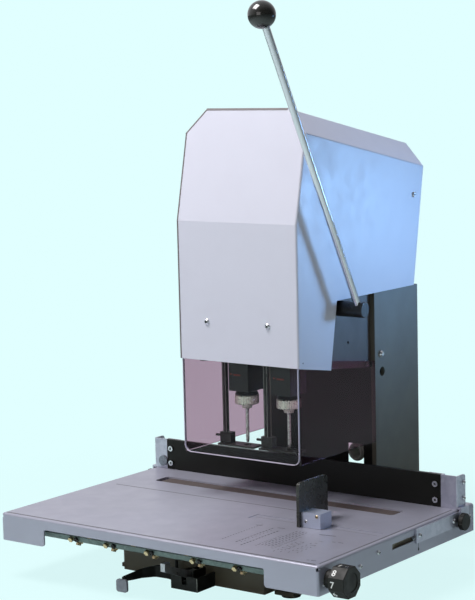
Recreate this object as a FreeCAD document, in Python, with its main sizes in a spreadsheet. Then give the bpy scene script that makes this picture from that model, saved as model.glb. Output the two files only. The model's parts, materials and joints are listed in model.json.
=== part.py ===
# Two-spindle paper drill for the table top, in millimetres.
# X runs to the right, Y to the back and Z up. The origin lies on the desk, midway under the two drills,
# so the plane of the drill axes is Y = 0.

import FreeCAD, Part
import math
import os
import Sketcher

doc = FreeCAD.newDocument("PaperDrill")
sheet = doc.addObject("Spreadsheet::Sheet", "Dims")
V = FreeCAD.Vector


# A size knows its value and the text that binds a property to the sheet.

class Size:
    def __init__(self, value, text):
        self.value = value
        self.text = text

    def joined(self, sign, value, other):
        return Size(value, "(%s %s %s)" % (self.text, sign, other.text))

    def __add__(self, other):
        other = as_size(other)
        return self.joined("+", self.value + other.value, other)

    def __sub__(self, other):
        other = as_size(other)
        return self.joined("-", self.value - other.value, other)

    def __mul__(self, other):
        other = as_size(other)
        return self.joined("*", self.value * other.value, other)

    def __truediv__(self, other):
        other = as_size(other)
        return self.joined("/", self.value / other.value, other)

    def __neg__(self):
        return as_size(0) - self

    def __radd__(self, other):
        return as_size(other) + self

    def __rsub__(self, other):
        return as_size(other) - self

    def __rmul__(self, other):
        return as_size(other) * self


def as_size(item):
    if isinstance(item, Size):
        return item
    return Size(float(item), repr(item))


cells = []


def size(name, value):
    cells.append(name)
    row = len(cells)
    sheet.set("A%d" % row, name)
    sheet.set("B%d" % row, str(value))
    sheet.setAlias("B%d" % row, name)
    return Size(float(value), "Dims." + name)


# Driving sizes: fits and common stock

gap = size("slide_gap", 0.3)
run_fit = size("running_fit", 0.08)
near = size("touch_distance", 0.5)
overrun = size("cut_overrun", 5)
screw_d = size("screw_size", 5)
screw_head_d = size("screw_head", 9)
screw_head_h = size("screw_head_rise", 3)

# Driving sizes: base

base_w = size("base_width", 264)
base_reach = size("base_reach", 200)
base_back = size("base_back", 275)
base_under = size("base_underside", 10)
base_top = size("base_deck", 58)
base_wall = size("base_wall", 4)
lug_out = size("lug_reach", 30)
lug_w = size("lug_width", 30)
lug_t = size("lug_plate", 6)
lug_hole_d = size("lug_hole", 9)
lug_y = size("lug_place", 155)
pad_t = size("foot_pad", 3)
pad_d = size("foot_pad_across", 28)

# Driving sizes: table

table_top = size("table_height", 102)
table_w = size("table_width", 582)
table_shift = size("table_shift", 9)
table_over = size("table_overhang", 108)
table_margin = size("table_rear_margin", 16)
table_t = size("table_plate", 2.5)
apron_h = size("apron_height", 42)
table_bend = size("table_bend", 4)
slot_w = size("slot_width", 34)
slot_len = size("slot_length", 454)
slot_corner = size("slot_corner", 6)
track_w = size("track_width", 25)
track_y = size("track_place", 127)
track_deep = size("track_depth", 0.8)
track_start = size("track_start", 60)
track_margin = size("track_margin", 18)
cutout_left = size("cutout_left", 196)
cutout_right = size("cutout_right", 210)
cutout_drop = size("cutout_drop", 16)
cutout_corner = size("cutout_corner", 5)
relief_r = size("corner_relief", 3)

# Driving sizes: cutting strip and its holder

strip_t = size("strip_thickness", 12)
strip_down = size("strip_recess", 2.4)
holder_wall = size("holder_wall", 2)
holder_over = size("holder_overlap", 8)

# Driving sizes: table slide

rail_d = size("rail_size", 14)
rail_drop = size("rail_drop", 28)
rail_rear_y = size("rear_rail_place", 95)
block_w = size("rail_block_length", 40)
block_depth = size("rail_block_depth", 36)
block_x = size("rail_block_place", 95)
block_over = size("rail_block_cover", 6)
foot_w = size("rail_foot_width", 26)
foot_h = size("rail_foot_height", 30)
foot_t = size("rail_foot_plate", 6)

# Driving sizes: stop bar and index knob

stop_in = size("stop_bar_inset", 23)
stop_drop = size("stop_bar_drop", 22)
stop_af = size("stop_bar_flats", 20)
journal_d = size("stop_journal", 10)
journal_shoulder = size("stop_shoulder", 3)
stop_head_d = size("stop_screw_head", 7)
stop_head_h = size("stop_screw_rise", 5)
stop_first = size("first_stop_place", 152)
knob_af = size("index_knob_flats", 42)
knob_len = size("index_knob_length", 37)
knob_collar = size("index_knob_collar", 12)
knob_collar_d = size("index_knob_collar_size", 26)
knob_neck = size("index_knob_neck", 2)
knob_gap = size("index_knob_gap", 2)

# Driving sizes: fence

fence_in_left = size("fence_left_inset", 26.5)
fence_in_right = size("fence_right_inset", 28.5)
fence_in_rear = size("fence_rear_inset", 47.5)
fence_t = size("fence_thickness", 6)
fence_h = size("fence_height", 50)
fence_travel = size("fence_travel", 60)
bracket_t = size("bracket_sheet", 2.5)
bracket_leg = size("bracket_leg", 24)
bracket_corner = size("bracket_corner", 5)
arm_t = size("arm_thickness", 3)
arm_h = size("arm_height", 21)
arm_len = size("arm_length", 152)
arm_in_rear = size("arm_rear_inset", 19)
arm_drop = size("arm_drop", 3)
window_h = size("window_height", 8)
window_in = size("window_inset", 3)
clamp_in = size("clamp_inset", 27)
clamp_d = size("clamp_knob", 26)
clamp_len = size("clamp_knob_length", 8)
clamp_stud_d = size("clamp_stud", 6)

# Driving sizes: side stop

side_x = size("side_stop_place", 155)
side_t = size("side_stop_plate", 5)
side_front = size("side_stop_front", 149)
side_depth = size("side_stop_depth", 74)
side_h = size("side_stop_height", 65)
side_corner = size("side_stop_corner", 6)
slider_w = size("slider_width", 33)
slider_depth = size("slider_depth", 29)
slider_h = size("slider_height", 22)
slider_in = size("slider_setback", 5)

# Driving sizes: column

column_front = size("column_front", 145)
column_t = size("column_plate", 8)
column_top = size("column_top", 409)
cover_t = size("cover_sheet", 2)
rear_open = size("rear_opening_top", 175)
spout_x = size("spout_place", 67)
spout_z = size("spout_height", 150)
spout_d = size("spout_across", 24)
spout_wall = size("spout_wall", 2)
spout_len = size("spout_length", 30)
spout_window_w = size("spout_window_width", 30)
spout_window_low = size("spout_window_low", 26)
bolt_d = size("column_bolt", 11)
bolt_rise = size("column_bolt_rise", 5)
bolt_back = size("column_bolt_back", 16)
bolt_z = size("column_bolt_height", 310)
bolt_hole_d = size("column_hole", 15)
bolt_hole_back = size("column_hole_back", 20.6)
bolt_hole_z = size("column_hole_height", 281)

# Driving sizes: head frame

plate_off = size("head_plate_offset", 58)
plate_t = size("head_plate_thickness", 6)
plate_low_front = size("head_plate_low_front", 312)
plate_low_rear = size("head_plate_low_rear", 290)
plate_front = size("head_plate_front", 42)
plate_back = size("head_plate_back", 244)
plate_top_front = size("head_plate_top_front", 664)
plate_top_rear = size("head_plate_top_rear", 612)
plate_lean = size("head_plate_lean", 28)
rod_d = size("guide_rod", 16)
rod_off = size("guide_rod_offset", 39)
rod_y = size("guide_rod_depth", 20)
low_bridge_z = size("low_bridge_height", 322)
bridge_t = size("bridge_plate", 10)
high_bridge_z = size("high_bridge_height", 584)
motor_plate_z = size("motor_plate_height", 540)
motor_plate_t = size("motor_plate_thickness", 6)

# Driving sizes: motor and belt

motor_d = size("motor_across", 108)
motor_len = size("motor_length", 116)
motor_y = size("motor_place", 180)
motor_shaft_d = size("motor_shaft", 14)
fin_count = 24
fin_deep = size("motor_fin_depth", 4)
fin_w = size("motor_fin_width", 4)
pulley_z = size("pulley_height", 552)
pulley_h = size("pulley_width", 28)
pulley_r = size("pulley_groove_radius", 22)
motor_pulley_r = size("motor_pulley_radius", 33)
flange_rise = size("pulley_flange_rise", 4)
flange_t = size("pulley_flange", 3)
hub_r = size("pulley_hub_radius", 13)
hub_rise = size("pulley_hub_rise", 14)
belt_t = size("belt_thickness", 3)
belt_w = size("belt_width", 20)

# Driving sizes: spindles

spacing = size("drill_spacing", 80)
spindle_d = size("spindle_shaft", 16)
spindle_bore_d = size("spindle_bore", 6)
spindle_top = size("spindle_top", 666)
block_side = size("spindle_block_width", 38)
block_front = size("spindle_block_front", 22)
housing_low = size("spindle_block_underside", 265)
housing_high = size("spindle_block_top", 540)
bearing_d = size("bearing_across", 32)
bearing_h = size("bearing_height", 10)
chuck_low = size("chuck_low", 243)
chuck_h = size("chuck_height", 15)
chuck_d = size("chuck_across", 38)
chuck_neck_d = size("chuck_neck", 22)
chuck_neck_h = size("chuck_neck_height", 6)
cone_h = size("chuck_cone", 7)
cone_d = size("chuck_cone_across", 15)
drill_d = size("drill_across", 5.5)
drill_bore_d = size("drill_bore", 4)
drill_tip = size("drill_tip_height", 181.1)
drill_collar_d = size("drill_collar", 8)

# Driving sizes: head carriage, rack and sector

carriage_t = size("carriage_plate", 8)
carriage_low = size("carriage_low", 352)
ear_low = size("ear_low", 492)
ear_high = size("ear_high", 540)
ear_d = size("ear_across", 25)
bush_d = size("bush_across", 20)
shaft_y = size("lever_shaft_place", 47)
shaft_z = size("lever_shaft_height", 396)
shaft_d = size("lever_shaft", 16)
gear_r = size("sector_pitch_radius", 54)
gear_teeth = 36
gear_t = size("sector_thickness", 6)
gear_inset = size("sector_inset", 1)
gear_hub_d = size("sector_hub", 30)
tooth_play = size("tooth_play", 0.5)
rack_t = size("rack_width", 7.5)
rack_back = size("rack_back", 9)

# Driving sizes: hold-down

post_w = size("post_width", 8)
post_depth = size("post_depth", 7.5)
post_off = size("post_offset", 42)
guide_low = size("guide_low", 398)
guide_high = size("guide_high", 414)
collar_z = size("post_collar_height", 338)
guide_wall = size("guide_wall", 4)
foot_low = size("presser_low", 174)
presser_t = size("presser_plate", 3)
presser_len = size("presser_length", 62)
presser_depth = size("presser_depth", 26)
presser_hole_d = size("presser_hole", 12)
clampblock_h = size("presser_block_height", 17)
clampblock_w = size("presser_block_width", 13)
clampblock_d = size("presser_block_depth", 12)
prong_d = size("presser_screw", 4)
prong_len = size("presser_screw_length", 12)

# Driving sizes: springs

spring_wire = size("return_spring_wire", 2)
spring_d = size("return_spring_across", 21)
spring_turns = 12
post_wire = size("post_spring_wire", 1.2)
post_spring_d = size("post_spring_across", 14.4)
post_turns = 7

# Driving sizes: feed lever

lever_x = size("lever_place", 141)
lever_hub_end = size("lever_hub_end", 152)
lever_hub_d = size("lever_hub", 24)
lever_lean = size("lever_lean_angle", 28.1)
lever_len = size("lever_length", 501)
lever_rod_d = size("lever_rod", 11)
ball_d = size("ball_across", 40)
ball_neck = size("ball_neck", 14)

# Driving sizes: hood and guards

hood_room = size("hood_side_room", 14.5)
hood_front = size("hood_front", 75)
hood_t = size("hood_sheet", 2)
hood_low = size("hood_low", 320)
hood_fold = size("hood_fold_height", 534)
hood_top_y = size("hood_top_front", 38.5)
hood_top_z = size("hood_top_height", 704)
hood_back_y = size("hood_back", 294)
hood_back_z = size("hood_back_height", 636.7)
hood_side_y = size("hood_side_back", 254)
hood_side_z = size("hood_side_low", 410)
strip_top_y = size("strip_top_back", 29.6)
strip_low_y = size("strip_low_back", 10.5)
strip_low_z = size("strip_low_height", 305.5)
shoulder_across = size("shoulder_across", 36.7)
shoulder_down = size("shoulder_down", 37.2)
hood_bend = size("hood_bend", 3.5)
hood_screw_x = size("hood_screw_place", 57)
hood_screw_z = size("hood_screw_height", 380.5)
hood_side_screw_y = size("hood_side_screw_place", 256)
hood_side_screw_z = size("hood_side_screw_height", 556)
vent_count = 7
vent_w = size("vent_width", 110)
vent_h = size("vent_height", 6)
vent_pitch = size("vent_pitch", 16)
vent_first = size("vent_first_height", 446)
guard_t = size("guard_sheet", 3)
guard_low = size("guard_low", 172.5)
guard_high = size("guard_high", 394)
guard_corner = size("guard_corner", 12)
side_guard_back = size("side_guard_back", 138)
side_guard_top_front = size("side_guard_top_front", 331.5)
side_guard_top_rear = size("side_guard_top_rear", 302)
spacer_d = size("guard_spacer", 10)
spacer_front = size("spacer_front", 25)
spacer_front_z = size("spacer_front_height", 318)
spacer_rear = size("spacer_rear", 130)
spacer_rear_z = size("spacer_rear_height", 298)
standoff_front_z = size("standoff_front_height", 600)
standoff_rear = size("standoff_rear", 256)

# Driving sizes: release lever, bracket and pawl

latch_x = size("latch_place", 18)
latch_w = size("latch_width", 49)
latch_reach = size("latch_reach", 43)
latch_t = size("latch_sheet", 3)
latch_high = size("latch_height", 21)
pivot_d = size("latch_pivot", 6)
arm_plate = size("release_arm_plate", 4)
arm_w = size("release_arm_width", 14)
arm_rise = size("release_arm_rise", 23)
tip_x = size("release_tip_place", 62)
tip_in = size("release_tip_inset", 22)
tip_w = size("release_tip_width", 20)
tip_h = size("release_tip_height", 19)
tip_t = size("release_tip_plate", 4)
tip_low = size("release_tip_low", 6.5)
tip_corner = size("release_tip_corner", 4)
pawl_w = size("pawl_width", 8)
pawl_t = size("pawl_plate", 6)
pawl_pin_d = size("pawl_pin", 6)
pawl_pin_z = size("pawl_pin_height", 30)
pawl_pin_out = size("pawl_pin_reach", 22)
pawl_tip_z = size("pawl_tip_height", 61)

# Driving sizes: drawer, inlet and switch

drawer_w = size("drawer_width", 150)
drawer_d = size("drawer_depth", 110)
drawer_h = size("drawer_height", 30)
drawer_t = size("drawer_wall", 2)
drawer_grip = size("drawer_grip", 14)
inlet_w = size("inlet_width", 30)
inlet_h = size("inlet_height", 24)
inlet_rise = size("inlet_rise", 5)
inlet_x = size("inlet_place", 60)
inlet_z = size("inlet_place_height", 215)
switch_w = size("switch_width", 16)
switch_h = size("switch_height", 30)
switch_rise = size("switch_rise", 3)
switch_deep = size("switch_depth", 14)
switch_y = size("switch_place", 200)
switch_z = size("switch_place_height", 250)
rocker_rise = size("rocker_rise", 3)
rocker_tilt = size("rocker_tilt", 6)
rocker_play = size("rocker_play", 0.6)
rocker_pin_d = size("rocker_pin", 3)

# Shares: how the small features follow the piece that carries them

screw_step_share = 0.45
screw_top_share = 0.6
small_head_share = 0.8
table_screw_shares = [(-0.9, 0.15), (0.9, 0.5)]
rear_screw_shares = (0.5, 0.4)
knob_sides = 8
knob_bore_share = 0.6
dish_share = 0.32
fence_screw_shares = (0.21, 0.7)
bracket_screw_shares = (0.28, 0.76)
bracket_screw_back_share = 0.73
leg_share = 0.45
flute_count = 8
flute_reach_share = 0.56
flute_share = 0.18
sight_shares = (0.62, -1.07)
shelf_share = 0.6
high_bridge_front_share = 1.5
motor_end_share = 0.84
motor_round_share = 0.08
fin_share = 0.62
fin_start_share = 0.2
chuck_bevel_share = 0.08
knurl_count = 40
knurl_share = 0.036
root_share = 1.25
wedge_share = 1.3
web_shares = (0.97, 0.05, 0.02, 1.2, 0.6)
rack_end_shares = (0.75, 0.35)
prong_share = 0.6
ball_flat_share = 0.47
ball_socket_share = 0.75
bolt_step_share = 0.4
bolt_top_share = 0.56
hub_share = 0.9
tab_shares = (2.7, 3.7)
stud_share = 0.36
stud_size_share = 0.8
post_share = 0.75
inlet_rim_share = 0.7
inlet_mouth_shares = (0.4, 0.36)
inlet_deep_share = 0.8
inlet_pin_shares = [(-0.2, -0.1), (0.2, -0.1), (0, 0.15)]
inlet_pin_share = 0.7
switch_rim_shares = (0.7, 0.62)
switch_mouth_share = 0.42
switch_deep_share = 0.8
rocker_end_share = 0.7
rocker_root_share = 1.4

doc.recompute()

# Places worked out from the driving sizes

table_left = table_shift - table_w / 2
table_right = table_shift + table_w / 2
table_front = -(base_reach + table_over)
table_rear = rail_rear_y + table_margin
apron_low = table_top - apron_h
base_left = -base_w / 2
base_right = base_w / 2
plate_x = spacing / 2 + plate_off
rod_x = spacing / 2 + rod_off
column_right = plate_x + column_t
column_back = base_back
hood_half = plate_x + hood_room
drill_x = spacing / 2
plate_in = plate_x - plate_t
stop_y = base_reach + table_over - stop_in
stop_z = table_top - stop_drop
rail_z = table_top - rail_drop
rail_front_y = base_reach - block_depth / 2
fence_y = table_rear - fence_in_rear
arm_back = table_rear - arm_in_rear
arm_front = arm_back - arm_len
window_y = arm_front + window_in
clamp_y = arm_back - clamp_in
tip_y = base_reach + table_over - tip_in
pawl_pin_y = base_reach + pawl_pin_out
slider_front = side_front - slider_in
block_right = drill_x + block_side / 2


# Helpers that make bound objects

def bind(obj, prop, item):
    obj.setExpression(prop, as_size(item).text)


def place(obj, x, y, z):
    for axis, item in zip("xyz", (x, y, z)):
        bind(obj, "Placement.Base." + axis, item)
    return obj


def label(obj, name):
    obj.Label = name
    return obj


def box(name, x, y, z, dx, dy, dz):
    obj = doc.addObject("Part::Box", name)
    bind(obj, "Length", dx)
    bind(obj, "Width", dy)
    bind(obj, "Height", dz)
    return place(obj, x, y, z)


def span(name, x0, x1, y0, y1, z0, z1):
    lows = [as_size(item) for item in (x0, y0, z0)]
    highs = [as_size(item) for item in (x1, y1, z1)]
    sizes = [high - low for low, high in zip(lows, highs)]
    return box(name, *lows, *sizes)


TURN = {
    "X": FreeCAD.Rotation(V(0, 1, 0), 90),
    "Y": FreeCAD.Rotation(V(1, 0, 0), -90),
    "Z": FreeCAD.Rotation(),
}


def rod(name, axis, diameter, x, y, z, length):
    obj = doc.addObject("Part::Cylinder", name)
    obj.Placement.Rotation = TURN[axis]
    bind(obj, "Radius", as_size(diameter) / 2)
    bind(obj, "Height", length)
    return place(obj, x, y, z)


def joined(name, *objs):
    if len(objs) == 1:
        return objs[0]
    obj = doc.addObject("Part::MultiFuse", name)
    obj.Shapes = list(objs)
    obj.Refine = True
    return obj


def cut(name, base, *tools):
    tool = joined(name + "_tools", *tools)
    obj = doc.addObject("Part::Cut", name)
    obj.Base = base
    obj.Tool = tool
    return obj


def common(name, base, tool):
    obj = doc.addObject("Part::Common", name)
    obj.Base = base
    obj.Tool = tool
    return obj


def ordered(first, second):
    first, second = as_size(first), as_size(second)
    return (first, second) if first.value < second.value else (second, first)


def close_to(value, item):
    return abs(value - as_size(item).value) < near.value


def group(name, *objs):
    obj = doc.addObject("Part::Compound", name)
    obj.Links = list(objs)
    return label(obj, name)


def body(name):
    return doc.addObject("PartDesign::Body", name)


def origin_plane(owner, role):
    for feature in owner.Origin.OriginFeatures:
        if feature.Role == role:
            return feature
    raise RuntimeError("no origin plane " + role)


def new_sketch(owner, name, role, offset):
    sketch = owner.newObject("Sketcher::SketchObject", name)
    sketch.AttachmentSupport = [(origin_plane(owner, role), "")]
    sketch.MapMode = "FlatFace"
    bind(sketch, "AttachmentOffset.Base.z", offset)
    return sketch


def pin_point(sketch, edge, which, u, v):
    for kind, item in (("DistanceX", u), ("DistanceY", v)):
        number = sketch.addConstraint(Sketcher.Constraint(kind, -1, 1, edge, which, item.value))
        sketch.setExpression("Constraints[%d]" % number, item.text)


def add_polygon(sketch, points):
    points = [(as_size(u), as_size(v)) for u, v in points]
    first = sketch.GeometryCount
    count = len(points)
    for i in range(count):
        start = V(points[i][0].value, points[i][1].value, 0)
        end = points[(i + 1) % count]
        sketch.addGeometry(Part.LineSegment(start, V(end[0].value, end[1].value, 0)), False)
    for i in range(count):
        sketch.addConstraint(Sketcher.Constraint("Coincident", first + i, 2, first + (i + 1) % count, 1))
    for i, point in enumerate(points):
        pin_point(sketch, first + i, 1, *point)


def add_circle(sketch, u, v, diameter):
    u, v, diameter = as_size(u), as_size(v), as_size(diameter)
    edge = sketch.addGeometry(Part.Circle(V(u.value, v.value, 0), V(0, 0, 1), diameter.value / 2), False)
    pin_point(sketch, edge, 3, u, v)
    number = sketch.addConstraint(Sketcher.Constraint("Radius", edge, diameter.value / 2))
    sketch.setExpression("Constraints[%d]" % number, (diameter / 2).text)


# The sketch planes: XY looks down Z, XZ has its normal along -Y, and YZ has its normal along X.

ROLE = {"Z": "XY_Plane", "Y": "XZ_Plane", "X": "YZ_Plane"}


def prism(name, axis, points, low, high, circles=()):
    low, high = as_size(low), as_size(high)
    owner = body(name)
    offset = -high if axis == "Y" else low
    sketch = new_sketch(owner, name + "_profile", ROLE[axis], offset)
    if points:
        add_polygon(sketch, points)
    for circle in circles:
        add_circle(sketch, *circle)
    pad = owner.newObject("PartDesign::Pad", name + "_pad")
    pad.Profile = sketch
    bind(pad, "Length", high - low)
    owner.Tip = pad
    doc.recompute()
    return owner


def rectangle(u0, u1, v0, v1):
    return [(u0, v0), (u1, v0), (u1, v1), (u0, v1)]


def rounded(owner, radius, keep):
    base = owner.Tip
    names = ["Edge%d" % (i + 1) for i, edge in enumerate(base.Shape.Edges) if keep(edge)]
    fillet = owner.newObject("PartDesign::Fillet", owner.Name + "_round_%d" % len(owner.Group))
    fillet.Base = (base, names)
    bind(fillet, "Radius", radius)
    owner.Tip = fillet
    doc.recompute()
    return owner


def along(axis):
    direction = {"X": V(1, 0, 0), "Y": V(0, 1, 0), "Z": V(0, 0, 1)}[axis]

    def keep(edge):
        ends = [vertex.Point for vertex in edge.Vertexes]
        if len(ends) != 2:
            return False
        run = ends[1] - ends[0]
        return run.Length > 0 and abs(run.normalize().dot(direction)) > 0.999
    return keep


def turned(name, points, axis, x, y, z):
    owner = body(name)
    sketch = new_sketch(owner, name + "_profile", ROLE["Y"], 0)
    add_polygon(sketch, points)
    turn = owner.newObject("PartDesign::Revolution", name + "_turn")
    turn.Profile = sketch
    turn.ReferenceAxis = (sketch, ["V_Axis"])
    turn.Angle = 360
    owner.Tip = turn
    owner.Placement.Rotation = TURN[axis]
    place(owner, x, y, z)
    doc.recompute()
    return owner


def tube_points(inner, outer, low, high):
    inner, outer = as_size(inner), as_size(outer)
    return [(inner / 2, low), (outer / 2, low), (outer / 2, high), (inner / 2, high)]


def polygon_points(flats, count, first):
    corner = as_size(flats) / 2 / math.cos(math.pi / count)
    angles = [math.radians(first + 360 / count * i) for i in range(count)]
    return [(corner * math.cos(angle), corner * math.sin(angle)) for angle in angles]


def feature(name, shape):
    obj = doc.addObject("Part::Feature", name)
    obj.Shape = shape
    return label(obj, name)


# Base

def make_base():
    deck = span("base_block", base_left, base_right, -base_reach, base_back, base_under, base_top)
    inside = span("base_inside", base_left + base_wall, base_right - base_wall,
                  -base_reach + base_wall, base_back - base_wall, base_under - overrun, base_top - base_wall)
    lugs = []
    holes = []
    for side, way in (("left", -1), ("right", 1)):
        for end, y in (("front", -lug_y), ("rear", lug_y)):
            edge = base_right * way
            outer = (base_right + lug_out) * way
            low, high = (outer, edge) if way < 0 else (edge, outer)
            tag = "lug_%s_%s" % (end, side)
            lugs.append(span(tag, low, high, y - lug_w / 2, y + lug_w / 2, pad_t, pad_t + lug_t))
            foot_x = (base_right + lug_out / 2) * way
            holes.append(rod(tag + "_hole", "Z", lug_hole_d, foot_x, y, pad_t - overrun, lug_t + overrun * 2))
            low, high = (edge, edge + base_wall) if way < 0 else (edge - base_wall, edge)
            lugs.append(span(tag + "_web", low, high, y - lug_w / 2, y + lug_w / 2, pad_t,
                             base_under + base_wall))
    shell = cut("base_shell", deck, inside)
    shelf = span("drawer_shelf", -drawer_w / 2 - overrun, drawer_w / 2 + overrun,
                 base_back - drawer_d - overrun, base_back, base_under, drawer_floor() - gap)
    chip_way = span("chip_way", -drawer_w / 4, drawer_w / 4, base_back - drawer_d / 2 - drawer_w / 4,
                    base_back - drawer_d / 2 + drawer_w / 6, base_top - base_wall - overrun,
                    base_top + overrun)
    drawer_way = span("drawer_way", -drawer_w / 2 - gap, drawer_w / 2 + gap, base_back - base_wall - overrun,
                      base_back + overrun, drawer_floor() - gap, drawer_floor() + drawer_h + gap)
    label(cut("base_made", joined("base_joined", shell, shelf, *lugs), drawer_way, chip_way, *holes),
          "base_frame")


def drawer_floor():
    return base_under + drawer_t


def make_feet():
    feet = []
    for way in (-1, 1):
        for y in (-lug_y, lug_y):
            foot_x = (base_right + lug_out / 2) * way
            tag = "pad_%d" % len(feet)
            feet.append(turned(tag, tube_points(lug_hole_d, pad_d, 0, pad_t), "Z", foot_x, y, 0))
    group("rubber_feet", *feet)


# Table

def table_block(name, inset, low):
    left, right = table_left + inset, table_right - inset
    front = table_front + inset
    rear = table_rear + inset * overrun
    owner = prism(name, "Z", rectangle(left, right, front, rear), low, table_top - inset)
    top = (table_top - inset).value
    back = rear.value

    def folded(edge):
        ends = [vertex.Point for vertex in edge.Vertexes]
        crosswise = len(ends) == 2 and close_to(ends[0].y, ends[1].y)
        if len(ends) != 2 or max(end.y for end in ends) > back - near.value and crosswise:
            return False
        level = min(end.z for end in ends) > top - near.value
        upright = not close_to(ends[0].z, ends[1].z) and max(end.y for end in ends) < 0
        return level or upright
    return rounded(owner, table_bend - inset, folded)


def make_table():
    outer = table_block("table_outer", as_size(0), apron_low)
    inner = table_block("table_inner", table_t, apron_low - overrun)
    half = slot_len / 2
    slot = prism("table_slot", "Z", rectangle(table_shift - half, table_shift + half, -slot_w / 2,
                                              slot_w / 2), table_top - table_t - overrun, table_top + overrun)
    rounded(slot, slot_corner, along("Z"))
    track = span("side_track", track_start, table_right - track_margin, -track_y - track_w / 2,
                 -track_y + track_w / 2, table_top - track_deep, table_top + overrun)
    opening = prism("front_opening", "Y", rectangle(-cutout_left, cutout_right, apron_low - overrun * 4,
                                                    table_top - cutout_drop),
                    table_front - overrun, table_front + table_t + overrun)
    rounded(opening, cutout_corner / 2, along("Y"))
    tools = [inner, slot, track, opening]
    low = apron_low - overrun
    for side, edge, way in (("left", -cutout_left, -1), ("right", cutout_right, 1)):
        far = edge + cutout_corner * way
        start, end = (far, edge) if way < 0 else (edge, far)
        square = span("flap_square_" + side, start, end, table_front - overrun,
                      table_front + table_t + overrun, low, apron_low + cutout_corner)
        round_corner = rod("flap_round_" + side, "Y", cutout_corner * 2, far, table_front - overrun * 2,
                           apron_low + cutout_corner, table_t + overrun * 4)
        tools.append(cut("flap_corner_" + side, square, round_corner))
    window_z = table_top - cutout_drop
    clamp_z = arm_middle()
    for side, x in (("left", table_left - overrun), ("right", table_right - table_t - overrun)):
        deep = table_t + overrun * 2
        run = fence_travel + window_h
        tools.append(box("window_" + side, x, window_y - fence_travel - window_h / 2, window_z - window_h / 2,
                         deep, run, window_h))
        tools.append(box("clamp_slot_" + side, x, clamp_y - fence_travel - clamp_stud_d,
                         clamp_z - clamp_stud_d / 2 - gap, deep, fence_travel + clamp_stud_d * 2,
                         clamp_stud_d + gap * 2))
        tools.append(rod("journal_hole_" + side, "X", journal_d + run_fit * 2, x, -stop_y, stop_z, deep))
        corner_x = table_left + relief_r / 2 if side == "left" else table_right - relief_r / 2
        relief = doc.addObject("Part::Sphere", "relief_" + side)
        bind(relief, "Radius", relief_r)
        place(relief, corner_x, table_front + relief_r / 2, table_top - table_bend - relief_r / 2)
        tools.append(relief)
    label(cut("table_made", outer, *tools), "table_top")


def arm_middle():
    return table_top - arm_drop - arm_h / 2 - window_h / 2


def make_strip():
    half = slot_len / 2 - slot_corner - gap
    strip = span("strip_block", table_shift - half, table_shift + half, -slot_w / 2 + gap, slot_w / 2 - gap,
                 table_top - strip_down - strip_t, table_top - strip_down)
    label(strip, "cutting_strip")
    reach = slot_len / 2 + holder_over
    wide = slot_w / 2 + holder_over
    top = table_top - table_t
    low = table_top - strip_down - strip_t - holder_wall
    tray = span("holder_tray", table_shift - reach, table_shift + reach, -slot_w / 2 - holder_wall,
                slot_w / 2 + holder_wall, low, top)
    rim = span("holder_rim", table_shift - reach, table_shift + reach, -wide, wide, top - holder_wall, top)
    pocket = span("holder_pocket", table_shift - slot_len / 2, table_shift + slot_len / 2, -slot_w / 2,
                  slot_w / 2, low + holder_wall, top + overrun)
    label(cut("holder_made", joined("holder_joined", tray, rim), pocket), "strip_holder")


def make_rails():
    parts = []
    for end, y in (("front", -rail_front_y), ("rear", rail_rear_y)):
        left = table_left + table_t
        bar = rod("rail_" + end, "X", rail_d, left + foot_t, y, rail_z, table_w - table_t * 2 - foot_t * 2)
        parts.append(bar)
        for side, x in (("left", left), ("right", table_right - table_t - foot_t)):
            parts.append(box("rail_foot_%s_%s" % (end, side), x, y - foot_w / 2,
                             rail_z - foot_h / 2 + rail_d / 4, foot_t, foot_w, foot_h - rail_d / 4))
    group("slide_rails", *parts)


def make_rail_blocks():
    blocks = []
    for y in (-rail_front_y, rail_rear_y):
        for way in (-1, 1):
            tag = "block_%d" % len(blocks)
            x = block_x * way
            raw = span(tag + "_raw", x - block_w / 2, x + block_w / 2, y - block_depth / 2,
                       y + block_depth / 2, base_top, rail_z + rail_d / 2 + block_over)
            bore = rod(tag + "_bore", "X", rail_d + run_fit * 2, x - block_w / 2 - overrun, y, rail_z,
                       block_w + overrun * 2)
            blocks.append(cut(tag, raw, bore))
    group("rail_bearings", *blocks)


def small_screw(tag, axis, x, y, z, rise, across):
    points = [(0, 0), (across / 2, 0), (across / 2, rise * screw_step_share),
              (across / 2 * screw_top_share, rise), (0, rise)]
    return turned(tag, points, axis, x, y, z)


def make_table_screws():
    places = [(-rail_front_y + foot_w * share, rail_z + foot_w * rise_share)
              for share, rise_share in table_screw_shares]
    rear_share, rear_rise_share = rear_screw_shares
    places.append((table_rear - foot_w * rear_share, rail_z + foot_w * rear_rise_share))
    screws = [small_screw("table_screw_%d" % i, "X", table_right, y, z, screw_head_h,
                          screw_head_d * small_head_share) for i, (y, z) in enumerate(places)]
    group("table_screws", *screws)


# Stop bar with its screws and the index knob

stop_sides = 8
stop_first_angle = -247.5
stop_shares = [
    (-1.0, -0.55, -0.04, 0.51, 1.0),
    (-0.94, -0.49, 0.02, 0.57, 1.06),
    (-0.97, -0.52, -0.01, 0.54, 1.03),
    (-0.7, 0.12, 0.7),
    (-1.05, -0.35, 0.35, 1.05),
    (-0.5, 0.6),
    (-0.9, 0.2, 0.9),
    (-0.75, -0.2, 0.45),
]


def make_stop_bar():
    left = table_left + table_t + journal_shoulder
    right = table_right - table_t - journal_shoulder
    bar = prism("stop_octagon", "X", polygon_points(stop_af, stop_sides, 0), left, right)
    place(bar, 0, -stop_y, stop_z)
    axle = rod("stop_axle", "X", journal_d, table_left - journal_shoulder, -stop_y, stop_z,
               table_w + journal_shoulder + knob_gap + knob_len * knob_bore_share)
    label(joined("stop_bar_made", bar, axle), "stop_bar")


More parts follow.
